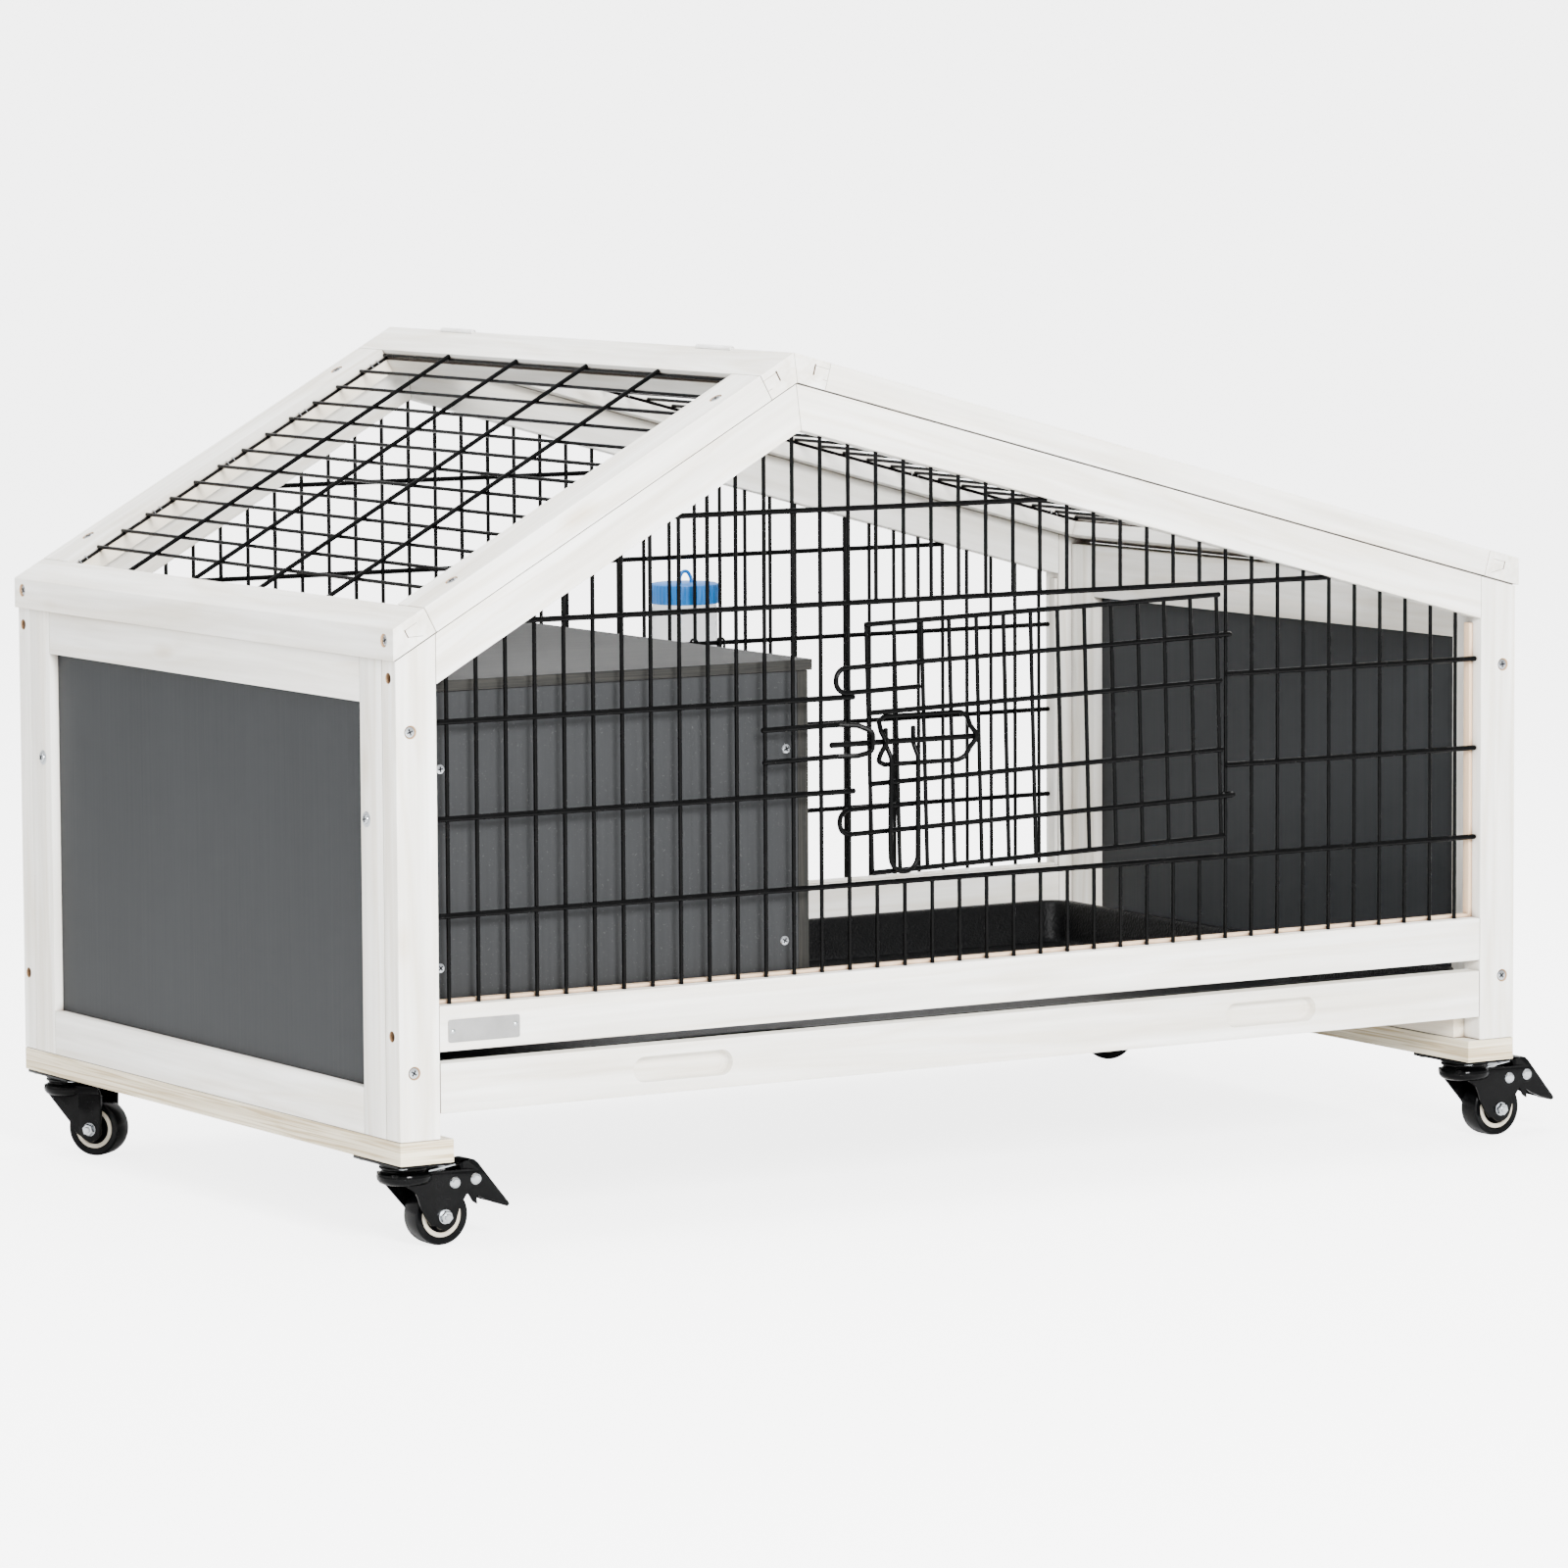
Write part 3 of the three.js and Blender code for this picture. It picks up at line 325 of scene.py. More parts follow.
def publish(name, bm, finishes, body="hutch", local=None, sharp=35, instead_of=None):
    """Closes a bmesh drawn in millimetres into an object that rides a body, or stands in for a CAD node."""
    bmesh.ops.recalc_face_normals(bm, faces=bm.faces)
    bm.transform(TO_ROW @ local if local else TO_ROW)
    for edge in bm.edges:
        edge.smooth = len(edge.link_faces) == 2 and edge.calc_face_angle(0) < radians(sharp)
    for face in bm.faces:
        face.smooth = True
    obj = mesh_object(name, bm, finishes if isinstance(finishes, (list, tuple)) else [finishes])
    if body:
        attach(obj, body)
    if instead_of:
        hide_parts(instead_of)
    return obj


def skin(bm, rings, closed=False, material=0):
    """Faces between rings of vertices of equal length, with caps unless the rings form a loop."""
    count = len(rings[0])
    faces = []
    for one, two in zip(rings, rings[1:] + ([rings[0]] if closed else [])):
        for k in range(count):
            nxt = (k + 1) % count
            faces.append(bm.faces.new((one[k], one[nxt], two[nxt], two[k])))
    if not closed:
        faces.append(bm.faces.new(list(reversed(rings[0]))))
        faces.append(bm.faces.new(rings[-1]))
    for face in faces:
        face.material_index = material
    return faces


def ring_at(bm, centre, across, side, radius, sides):
    """A circle of vertices in the plane of two crossed directions."""
    turns = (2 * pi * k / sides for k in range(sides))
    return [bm.verts.new(centre + (across * cos(a) + side * sin(a)) * radius) for a in turns]


def tube(bm, points, radius, sides=10):
    """A round wire along a path, with its ends slightly chamfered."""
    points = [Vector(p) for p in points]
    last = len(points) - 1
    across = None
    rings = []
    for i, point in enumerate(points):
        tangent = (points[min(i + 1, last)] - points[max(i - 1, 0)]).normalized()
        across = tangent.orthogonal() if across is None else across - tangent * across.dot(tangent)
        across.normalize()
        reach = [(radius, 0)]
        if i == 0:
            reach = [(radius * 0.62, 0), (radius, radius * 0.4)]
        if i == last:
            reach = [(radius, -radius * 0.4), (radius * 0.62, 0)]
        for width, along in reach:
            centre = point + tangent * along
            rings.append(ring_at(bm, centre, across, tangent.cross(across), width, sides))
    skin(bm, rings)


def fillet(points, radius, steps=5):
    """The same path with each inner corner rounded."""
    points = [Vector(p) for p in points]
    path = [points[0]]
    for before, corner, after in zip(points, points[1:], points[2:]):
        back = (before - corner).normalized()
        ahead = (after - corner).normalized()
        angle = back.angle(ahead)
        if angle > radians(178):
            path.append(corner)
            continue
        legs = ((before - corner).length, (after - corner).length)
        reach = min(radius / tan(angle / 2), 0.48 * legs[0], 0.48 * legs[1])
        real = reach * tan(angle / 2)
        centre = corner + (back + ahead).normalized() * (real / sin(angle / 2))
        first = corner + back * reach - centre
        last = corner + ahead * reach - centre
        for k in range(steps + 1):
            path.append(centre + first.slerp(last, k / steps).normalized() * first.length)
    path.append(points[-1])
    return path


def lathe(bm, profile, centre=(0, 0, 0), axis=(0, 0, 1), sides=32, material=0, closed=False):
    """Turns (radius, height) pairs round an axis. Radius 0 is not used: ends are capped flat."""
    axis = Vector(axis).normalized()
    across = axis.orthogonal().normalized()
    side = axis.cross(across)
    centre = Vector(centre)
    rings = [ring_at(bm, centre + axis * height, across, side, radius, sides) for radius, height in profile]
    skin(bm, rings, closed=closed, material=material)


def soften(bm, edges, width, material):
    bmesh.ops.bevel(bm, geom=edges, offset=width, segments=2, affect="EDGES", profile=0.6, material=material)


def block(bm, low, high, bevel=0.0, material=0):
    """A box, bevelled all round where a bevel is given."""
    made = bmesh.ops.create_cube(bm, size=1.0)["verts"]
    size = Vector(high) - Vector(low)
    for vert in made:
        vert.co = Vector(low) + Vector((vert.co[k] + 0.5) * size[k] for k in range(3))
    faces = list({face for vert in made for face in vert.link_faces})
    for face in faces:
        face.material_index = material
    if bevel:
        edges = list({edge for vert in made for edge in vert.link_edges})
        soften(bm, edges, bevel, material)


def slab(bm, outline, axis, low, high, bevel=0.0, material=0):
    """A flat outline pushed along an axis: its pairs are (x, z) along y and (x, y) along z."""

    def place(a, b, level):
        return (a, level, b) if axis == "y" else (a, b, level)

    rings = [[bm.verts.new(place(a, b, level)) for a, b in outline] for level in sorted((low, high))]
    faces = skin(bm, rings, material=material)
    if bevel:
        rims = list({edge for face in faces[-2:] for edge in face.edges})
        soften(bm, rims, bevel, material)


def arc(centre, radius, start, end, steps=8):
    """Points round a centre from one angle to another, in degrees."""
    turns = (radians(start + (end - start) * k / steps) for k in range(steps + 1))
    return [(centre[0] + radius * cos(turn), centre[1] + radius * sin(turn)) for turn in turns]


def rounded_box(x0, x1, y0, y1, radius, steps=6):
    """Corner-rounded rectangle, anticlockwise."""
    return (arc((x1 - radius, y0 + radius), radius, -90, 0, steps)
            + arc((x1 - radius, y1 - radius), radius, 0, 90, steps)
            + arc((x0 + radius, y1 - radius), radius, 90, 180, steps)
            + arc((x0 + radius, y0 + radius), radius, 180, 270, steps))


def bake(obj):
    """Applies an object's modifiers and keeps the result as its mesh."""
    graph_now = bpy.context.evaluated_depsgraph_get()
    mesh = bpy.data.meshes.new_from_object(obj.evaluated_get(graph_now))
    obj.modifiers.clear()
    obj.data = mesh


EDGE_WEAR = 0.7


def weld_and_bevel(obj, bevel):
    """Joins a CAD mesh's faces, then rounds its edges by a width in millimetres."""
    weld = obj.modifiers.new("weld", "WELD")
    weld.merge_threshold = 0.00002
    rounding = obj.modifiers.new("bevel", "BEVEL")
    rounding.width = bevel * 0.001
    rounding.segments = 2
    rounding.limit_method = "ANGLE"
    rounding.angle_limit = radians(25)


def flat(obj):
    for polygon in obj.data.polygons:
        polygon.use_smooth = False


def dress(name, finish, bevel=EDGE_WEAR):
    """Gives a carried-over CAD node its finish and worn edges."""
    node = NODES[name]
    node.data.materials.clear()
    node.data.materials.append(finish)
    flat(node)
    weld_and_bevel(node, bevel)


def carve(name, wood, cutters, blank=None):
    """A board like a CAD node, or a blank in its place, with worn edges and the cutters taken out of it."""
    node = NODES[name]
    # The third finish, for the roof-joint grooves, is bare wood darkened with painted shade of the gap.
    woods = [wood, RAW, GAP_SHADED_WOOD]
    if blank:
        board = publish(f"{name}_board", blank, woods, None)
    else:
        board = into_scene(bpy.data.objects.new(f"{name}_board", node.data.copy()))
        board.data.materials.clear()
        for layer in woods:
            board.data.materials.append(layer)
        weld_and_bevel(board, EDGE_WEAR)
        bake(board)
    flat(board)
    tool = publish("cutter", cutters, woods, None)
    flat(tool)
    cut = board.modifiers.new("cut", "BOOLEAN")
    cut.operation = "DIFFERENCE"
    cut.solver = "EXACT"
    cut.use_self = True
    cut.object = tool
    cut.material_mode = "TRANSFER"
    bake(board)
    bpy.data.objects.remove(tool)
    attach(board, node["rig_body"])
    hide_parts(name)


# ---- screws ----

def frame_at(origin, normal):
    """Turns +Z to face along the normal and moves to the origin."""
    normal = Vector(normal).normalized()
    across = Vector((0, 0, 1)) if abs(normal.z) < 0.9 else Vector((0, 1, 0))
    side = across.cross(normal).normalized()
    up = normal.cross(side)
    turn = Matrix((side, up, normal)).transposed().to_4x4()
    return Matrix.Translation(origin) @ turn


def move_from(bm, start, matrix):
    """Moves every vertex made since a count was taken."""
    bm.verts.ensure_lookup_table()
    bmesh.ops.transform(bm, matrix=matrix, verts=bm.verts[start:])


def cross_screw(bm, origin, normal, radius=4.2, dome=0.5, sink=0.6, spin=20):
    """A cross-head screw: a shallow domed head with a near-black cross standing on it, painted shade of the
    cross recess.
    """
    start = len(bm.verts)
    profile = [(radius * 0.96, -1.2), (radius, -0.25), (radius * 0.9, dome * 0.35),
               (radius * 0.5, dome * 0.85), (radius * 0.12, dome)]
    lathe(bm, profile, sides=20)
    arm = radius * 0.56
    # The cross is a thin dark block, painted shade of the recess.
    for a, b in ((arm, 0.6), (0.6, arm)):
        block(bm, (-a, -b, dome * 0.2), (a, b, dome + 0.05), material=1)
    place = frame_at(Vector(origin) - Vector(normal).normalized() * sink, normal)
    move_from(bm, start, place @ Matrix.Rotation(radians(spin), 4, "Z"))


def hole(bm, origin, normal, radius=5.0, depth=1.6, floor=4.0):
    """A cutter for a countersunk seat, lined with bare wood."""
    start = len(bm.verts)
    lathe(bm, [(floor, -depth), (radius, -0.2), (radius, 1.0)], sides=20, material=1)
    move_from(bm, start, frame_at(origin, normal))


def screws(name, places, body, **options):
    bm = bmesh.new()
    for i, (origin, normal) in enumerate(places):
        cross_screw(bm, origin, normal, spin=20 + 37 * i, **options)
    publish(name, bm, [STEEL, CROSS_SHADE], body)


# ---- timber frame ----

def at_slope(side, run, height):
    """A point run up one roof slope from the eave, and height above its underside, as (x, z)."""
    x0, z0 = EAVE[side]
    c, s = cos(ANGLE[side]), sin(ANGLE[side])
    return x0 + side * (run * c - height * s), z0 + run * s + height * c


POST_SCREWS = {"left": ((11.5, 295.0), (12.0, 49.4)), "right": ((988.0, 295.0), (988.6, 49.6))}


def posts():
    for end, y, out in ENDS:
        places, deep = [], []
        for side, x_face, x_out in (("left", 0.0, -1), ("right", LENGTH, 1)):
            cutters = bmesh.new()
            for x, z in POST_SCREWS[side]:
                places.append(((x, y, z), (0, out, 0)))
                hole(cutters, *places[-1])
            side_y = 10.9 if end == "front" else DEPTH - 8.5
            for z in (333.5, 75.7 if end == "front" else 59.5):
                deep.append(((x_face, side_y, z), (x_out, 0, 0)))
                hole(cutters, *deep[-1], radius=4.1, depth=7, floor=4.1)
            roof_line(cutters, -x_out, end)
            carve(f"{end}_{side}_post", WHITE["z"], cutters)
        screws(f"{end}_post_screws", places, "hutch", sink=0.9)
        screws(f"{end}_deep_screws", deep, "hutch", radius=3.6, sink=4.0)


LOW_RAIL_TOP = 34
HIGH_RAIL_FOOT = 313.6


def side_frames():
    """Each side frame as four boards: stiles run the full height and the rails fit between them."""
    gap = 0.3
    low, high = BOARD_T + gap, DEPTH - BOARD_T - gap
    sides = (("left", 0.0, EAVE[LEFT][1] - gap), ("right", LENGTH - BOARD_T, EAVE[RIGHT][1] - gap))
    for side, x0, top in sides:
        x1 = x0 + BOARD_T
        stiles = bmesh.new()
        for y0, y1 in ((low, low + BOARD_W), (high - BOARD_W, high)):
            block(stiles, (x0, y0, 0), (x1, y1, top), EDGE_WEAR)
        publish(f"{side}_side_stiles", stiles, WHITE["z"], instead_of=f"{side}_side_frame")
        rails = bmesh.new()
        y0, y1 = low + BOARD_W + gap / 2, high - BOARD_W - gap / 2
        block(rails, (x0, y0, 0), (x1, y1, LOW_RAIL_TOP), EDGE_WEAR)
        block(rails, (x0, y0, HIGH_RAIL_FOOT), (x1, y1, top), EDGE_WEAR)
        publish(f"{side}_side_rails", rails, WHITE["y"])


def panel_screws():
    """Screws on washers that hold the side panels, half way up the side frames' stiles."""
    spots = [((x, y, z), (out, 0, 0)) for x, out in ((0.0, -1), (LENGTH, 1))
             for y, z in ((45.3, 229.5), (570.1, 231.6))]
    bm = bmesh.new()
    for i, (origin, normal) in enumerate(spots):
        start = len(bm.verts)
        lathe(bm, [(5.6, -0.2), (5.7, 0.25), (5.2, 0.7), (3.4, 0.75)], sides=28)
        move_from(bm, start, frame_at(origin, normal))
        cross_screw(bm, origin, normal, radius=3.6, dome=1.5, sink=-0.8, spin=12 + 30 * i)
    publish("panel_screws", bm, [STEEL, CROSS_SHADE])


def roof_line(bm, side, end):
    """A cutter that opens the joint between a gable's boards and the roof over them; its walls take the dark
    gap finish, bare wood darkened with painted shade.
    """
    face, inward = (0.0, 1) if end == "front" else (DEPTH, -1)
    length = SLOPE_LENGTH[side]
    section = [at_slope(side, run, h) for run, h in ((-6, -1.2), (length, -1.2), (length, 2), (-6, 2))]
    slab(bm, section, "y", face - inward, face + inward * 3.0, material=2)


def gable_boards():
    for end in ("front", "rear"):
        for side, slope in ((LEFT, "left"), (RIGHT, "right")):
            cutters = bmesh.new()
            roof_line(cutters, side, end)
            carve(f"{end}_{slope}_gable_rail", WHITE[slope], cutters)
        dress(f"{end}_bottom_rail", WHITE["x"])
    for side in ("left", "right"):
        dress(f"{side}_side_panel", PANEL_PLY, 0.3)
        dress(f"{side}_base_board", BASE_PLY, 0.5)
        dress(f"{side}_tray_runner", RUNNER, 0.5)


def beads():
    """Strips nailed behind the wire walls, bare at the front and painted at the back."""
    kinds = (("front", 11.0, 96.4, BEAD), ("rear", DEPTH - 18.5, 83.0, WHITE["z"]))
    for end, y0, foot, wood in kinds:
        y1 = y0 + 7.5
        bm = bmesh.new()
        low, high = BOARD_W + 0.1, LENGTH - BOARD_W - 0.1
        block(bm, (low, y0, foot), (low + 3.2, y1, 326), 0.4)
        block(bm, (high - 3.2, y0, foot), (high, y1, 328), 0.4)
        block(bm, (low + 3.4, y0, foot), (high - 3.4, y1, foot + 2.4), 0.4)
        publish(f"{end}_wire_beads", bm, wood)


TOP_SCREW_X = {LEFT: (54.5, 277.0), RIGHT: (945.0, 385.0)}


def roof_boards():
    for name, side in (("left_roof", LEFT), ("right_roof", RIGHT)):
        slope = WHITE["left" if side == LEFT else "right"]
        angle = ANGLE[side]
        normal = Vector((-side * sin(angle), 0, cos(angle)))
        tops = []
        for y in (14.5, DEPTH - 14.5):
            for x in TOP_SCREW_X[side]:
                z = APEX[1] - abs(x - APEX[0]) * tan(angle)
                tops.append((Vector((x, y, z + ROOF_T / cos(angle))), normal))
        for end, picks in (("front", tops[:2]), ("rear", tops[2:])):
            cutters = bmesh.new()
            for seat in picks:
                hole(cutters, *seat)
            carve(f"{name}_{end}_rafter", slope, cutters)
        screws(f"{name}_rafter_screws", tops, BODY[side], sink=0.35)
        eave_x, eave_z = (-2.4, 360.6) if side == LEFT else (LENGTH + 2.4, 367.5)
        cutters = bmesh.new()
        seats = [((eave_x, y, eave_z), (-side, 0, 0)) for y in (12.5, DEPTH - 12.5)]
        for seat in seats:
            hole(cutters, *seat, depth=1.8)
        joint_marks(cutters, side, "eave")
        carve(f"{name}_eave_rail", WHITE["y"], cutters)
        screws(f"{name}_eave_screws", seats, BODY[side], sink=1.2)
        cutters = bmesh.new()
        joint_marks(cutters, side, "ridge")
        carve(f"{name}_ridge_rail", WHITE["y"], cutters)


def joint_marks(bm, side, where):
    """Open ends of the halved corner joints, seen on the rails' end grain."""
    top = SLOPE_LENGTH[side]
    if where == "ridge":
        marks = [((top - 12, 9.0), (top - 12, 16.0), 1.3, 2.5),
                 ((top - 30, 15.5), (top - 12, 15.5), 0.35, 0.6),
                 ((top - 30, 7.0), (top - 21, 7.0), 0.35, 0.6)]
    else:
        marks = [((16, 9.0), (16, 14.5), 0.9, 1.5),
                 ((16, 14.5), (27, 14.5), 0.35, 0.6),
                 ((16, 9.0), (27, 3.5), 0.35, 0.6)]
    for y_face, out in ((-ROOF_PROUD, -1), (DEPTH + ROOF_PROUD, 1)):
        for start, end, width, depth in marks:
            a, b = Vector(at_slope(side, *start)), Vector(at_slope(side, *end))
            along = (b - a).normalized() * width / 2
            across = Vector((along.y, -along.x))
            points = [a - along + across, b + along + across, b + along - across, a - along - across]
            slab(bm, points, "y", y_face - out * depth, y_face + out, material=1)


def maker_plate():
    """A plain plate on the front bottom rail, left without lettering."""
    bm = bmesh.new()
    slab(bm, rounded_box(40, 99, 69.5, 86, 1.6, 4), "y", -0.9, -0.02, 0.25)
    publish("maker_plate", bm, PLATE)
    pins = bmesh.new()
    for x, z in ((43.6, 77.4), (95.4, 79.2)):
        lathe(pins, [(1.9, 0.6), (1.9, 1.1), (1.3, 1.6), (0.4, 1.8)], (x, 0, z), (0, -1, 0), 16)
    publish("maker_plate_pins", pins, STEEL)


# ---- wire panels ----

ROW_R = 2.1
UPRIGHT_R = 1.55
REAR_ROW_R = 2.0
REAR_UPRIGHT_R = 1.6
DOOR_ROW_R = 1.95
DOOR_UPRIGHT_R = 1.6
ROW_IN = 6.1
UPRIGHT_IN = 8.6
LATCH_UPRIGHT = 14
HINGE_UPRIGHT = 28
HINGE_X = FIRST_X + HINGE_UPRIGHT * PITCH


def rail_edge(x):
    """Lower edge of the gable rails."""
    return min(APEX[1] + side * (x - APEX[0]) * tan(ANGLE[side]) - BOARD_W / cos(ANGLE[side])
               for side in (LEFT, RIGHT))


def row_ends(z):
    """Where a level wire meets the posts or the gable rails."""
    low, high = (APEX[0] - side * (APEX[1] - BOARD_W / cos(ANGLE[side]) - z) / tan(ANGLE[side])
                 for side in (LEFT, RIGHT))
    return max(BOARD_W + 0.8, low + 1), min(LENGTH - BOARD_W - 0.8, high - 1)


def front_wall():
    """Level wires in front of uprights, both cut away where the door hangs, with the latch's catch."""
    bm = bmesh.new()
    rows = [160.25 + 70 * k for k in range(5)]
    latch_x = FIRST_X + LATCH_UPRIGHT * PITCH
    for z in rows:
        x0, x1 = row_ends(z)
        spans = [(x0, latch_x + 3.5), (HINGE_X - 1.5, x1)] if z in rows[1:3] else [(x0, x1)]
        for start, end in spans:
            tube(bm, [(start, ROW_IN, z), (end, ROW_IN, z)], ROW_R)
    for i in range(UPRIGHTS):
        x = FIRST_X + i * PITCH
        foot, top = 94.5, rail_edge(x) + 4
        at_door = LATCH_UPRIGHT < i < HINGE_UPRIGHT
        spans = [(foot, rows[0] + 1.2), (rows[3] - 1.2, top)] if at_door else [(foot, top)]
        for start, end in spans:
            tube(bm, [(x, UPRIGHT_IN, start), (x, UPRIGHT_IN, end)], UPRIGHT_R)
    catch = [(309.5, 5.9, 279.5), (376, 5.4, 280.4), (389, -1.5, 279.6), (398.6, -6.7, 275),
             (398.2, -6.7, 260), (388.4, -1.5, 257), (375, 5.4, 256.8), (310.5, 5.9, 255.5)]
    tube(bm, fillet(catch, 5.5), 2.0)
    publish("front_wire_wall_round", bm, WIRE, instead_of="front_wire_wall")


def rear_wall():
    bm = bmesh.new()
    row_y, upright_y = DEPTH - ROW_IN, DEPTH - UPRIGHT_IN
    for k in range(5):
        z = 143.2 + 72.5 * k
        x0, x1 = row_ends(z)
        tube(bm, [(x0, row_y, z), (x1, row_y, z)], REAR_ROW_R, sides=8)
    for i in range(UPRIGHTS):
        x = LENGTH - (FIRST_X + i * PITCH)
        tube(bm, [(x, upright_y, 81.0), (x, upright_y, rail_edge(x) + 4)], REAR_UPRIGHT_R, sides=8)
    publish("rear_wire_wall_round", bm, WIRE, instead_of="rear_wire_wall")


WIRE_FRONT = RAFTER_W - ROOF_PROUD
WIRE_BACK = DEPTH + ROOF_PROUD - RAFTER_W


def roof_wires(name, side):
    """Thin wires run front to back under thicker rods, which run up the slope, inside a thin edge wire."""
    low, high = ROOF_RUN[side]
    front, back = WIRE_FRONT, WIRE_BACK
    thin_h, rod_h = ROOF_T - 4.8, ROOF_T - 1.9
    bm = bmesh.new()
    first = low + (29.7 if side == LEFT else 22.0)
    count = int((high - 6 - first) // PITCH) + 1
    runs = [low + 1.3, high - 1.3] + [first + i * PITCH for i in range(count)]
    for run in runs:
        x, z = at_slope(side, run, thin_h)
        tube(bm, [(x, front - 2, z), (x, back + 2, z)], 1.4, sides=8)
    for y in (front + 1.4, back - 1.4):
        ends = [at_slope(side, run, thin_h - 2.2) for run in (low - 1, high + 1)]
        tube(bm, [(x, y, z) for x, z in ends], 1.1, sides=8)
    for i in range(1, 5):
        y = front + (back - front) * i / 5
        ends = [at_slope(side, run, rod_h) for run in (low - 3, high + 3)]
        tube(bm, [(x, y, z) for x, z in ends], 1.75)
    publish(f"{name}_wires", bm, WIRE, BODY[side], instead_of=f"{name}_mesh")
    bm = bmesh.new()
    staple = ((0.0, -0.2), (1.4, -0.2), (3.2, -2.6))
    for wall, inward in ((front, 1), (back, -1)):
        for share in (0.04, 0.27, 0.5, 0.73, 0.96):
            for shift in (-3.0, 3.0):
                run = low + (high - low) * share + shift
                slope = [at_slope(side, run, thin_h + rise) for _, rise in staple]
                path = [(x, wall + inward * reach, z) for (x, z), (reach, _) in zip(slope, staple)]
                tube(bm, path, 0.5, sides=6)
    publish(f"{name}_staples", bm, STEEL, BODY[side])


def roof_strip(bm, side, runs, heights, depths, wood):
    (r0, r1), (h0, h1) = runs, heights
    section = [at_slope(side, run, h) for run, h in ((r0, h0), (r1, h0), (r1, h1), (r0, h1))]
    slab(bm, section, "y", *depths, material=wood)


def roof_beads(name, side):
    """Strips nailed under the wire, bare on the left roof's rafters, and thin near-black brown strips over
    them: bare wood darkened with painted shade of the slot.
    """
    low, high = ROOF_RUN[side]
    front, back = WIRE_FRONT, WIRE_BACK
    top = ROOF_T - 8.6
    slope = ROOF_BEAD if side == LEFT else WHITE["right"]
    # The slot strips are dark brown: bare wood darkened with painted shade of the slot.
    kinds = (("beads", (0.4, top), 1.7, (slope, WHITE["y"])), ("slot_shade_strips", (top, top + 1.5), 0.3, (SLOT_SHADED_WOOD, SLOT_SHADED_WOOD)))
    for label, heights, depth, woods in kinds:
        bm = bmesh.new()
        for depths in ((front + 0.05, front + depth), (back - depth, back - 0.05)):
            roof_strip(bm, side, (low, high), heights, depths, 0)
        for runs in ((low + 0.05, low + depth), (high - depth, high - 0.05)):
            roof_strip(bm, side, runs, heights, (front + depth + 0.1, back - depth - 0.1), 1)
        publish(f"{name}_{label}", bm, woods, BODY[side])


# The bent wire on the door that the bolt slides through.
KEEPER = [
    (410.6, -5.8, 260.8), (410.4, -6.4, 267), (408.4, -2.6, 274), (409.4, 2.4, 281.6), (415, 3.2, 284.4),
    (482, 3.2, 284.4), (487.4, 2.2, 282), (487.6, -2.2, 274.6), (491.8, -6.6, 266.6), (487.6, -2.2, 258.6),
    (486.2, 2.4, 251.2), (480, 3.2, 248.6), (415, 3.2, 248.6), (409.0, 2.4, 251.4), (408.0, -2.6, 257.6),
    (410.0, -6.3, 264.6), (411.2, -6.4, 270.0),
]
DOOR_ROWS = (176.5, 207.0, 243.0, 296.0, 331.0, 362.0)
HINGE_ROWS = {1: 1, 4: -1}
HINGE_EYE_R = 4.1
HOOK_RISE = 18.5
DOOR_SAG = radians(-1.45)


def wire_door():
    """The door hangs a little low at its free edge, turned about the middle of its hinge wire."""
    gaps = 13
    right = HINGE_X - 8.6
    left = right - gaps * PITCH
    row_y, upright_y = 3.3, 5.55
    middle = Vector((HINGE_X, 0, (DOOR_ROWS[0] + DOOR_ROWS[-1]) / 2))
    sag = Matrix.Translation(middle) @ Matrix.Rotation(DOOR_SAG, 4, "Y") @ Matrix.Translation(-middle)
    bm = bmesh.new()
    for i in range(gaps + 1):
        x = left + i * PITCH
        foot, top = DOOR_ROWS[0] - 1.5, DOOR_ROWS[-1] + 1.5
        tube(bm, [(x, upright_y, foot), (x, upright_y, top)], DOOR_UPRIGHT_R)
    for k, z in enumerate(DOOR_ROWS):
        turn = HINGE_ROWS.get(k)
        if turn:
            back = z + turn * HOOK_RISE
            hooked = [(left + 45, row_y, back), (left - 29, row_y, back), (left - 29, row_y, z),
                      (right, row_y, z), (HINGE_X - 3, 4.0, z)]
            eye = [Vector((HINGE_X + HINGE_EYE_R * sin(a), 8 - HINGE_EYE_R * cos(a),
                           z + 1.5 * turn * a / 5.2)) for a in (0.3 + 0.38 * s for s in range(14))]
            tube(bm, fillet(hooked, 9.2, 8) + eye, DOOR_ROW_R)
        else:
            tube(bm, [(left - 2.0, row_y, z), (right + 2.0, row_y, z)], DOOR_ROW_R)
    bmesh.ops.transform(bm, matrix=sag, verts=bm.verts)
    tube(bm, fillet(KEEPER, 4.2), 1.9)
    publish("wire_door", bm, WIRE, "door", instead_of="door_mesh")


def latch():
    """The handle is one wire, welded behind the bolt where its two upturned ends cross it."""
    y, z = -1.7, 266.2
    bolt_r, radius = 2.2, 1.85
    bm = bmesh.new()
    profile = [(1.2, 364), (2.0, 364.6), (bolt_r, 365.4), (bolt_r, 488), (bolt_r, 490.5), (2.45, 492),
               (2.45, 495), (1.8, 496)]
    lathe(bm, profile, (0, y, z), (1, 0, 0), 16)
    publish("bolt", bm, WIRE, "bolt", instead_of="latch_bolt")
    behind = y + bolt_r + radius
    bm = bmesh.new()
    path = [(415.6, behind, 276), (415.6, behind, 263.5), (418.4, -1.1, 253.5), (416.8, y, 200),
            (417.4, y, 168.4), (440.8, y, 168.4), (441.2, y, 200), (442.0, -1.1, 254),
            (439.9, behind, 263.5), (439.9, behind, 276.5)]
    tube(bm, fillet(path, 11.8, 8), radius, 12)
    publish("handle", bm, WIRE, "handle", instead_of="latch_handle")


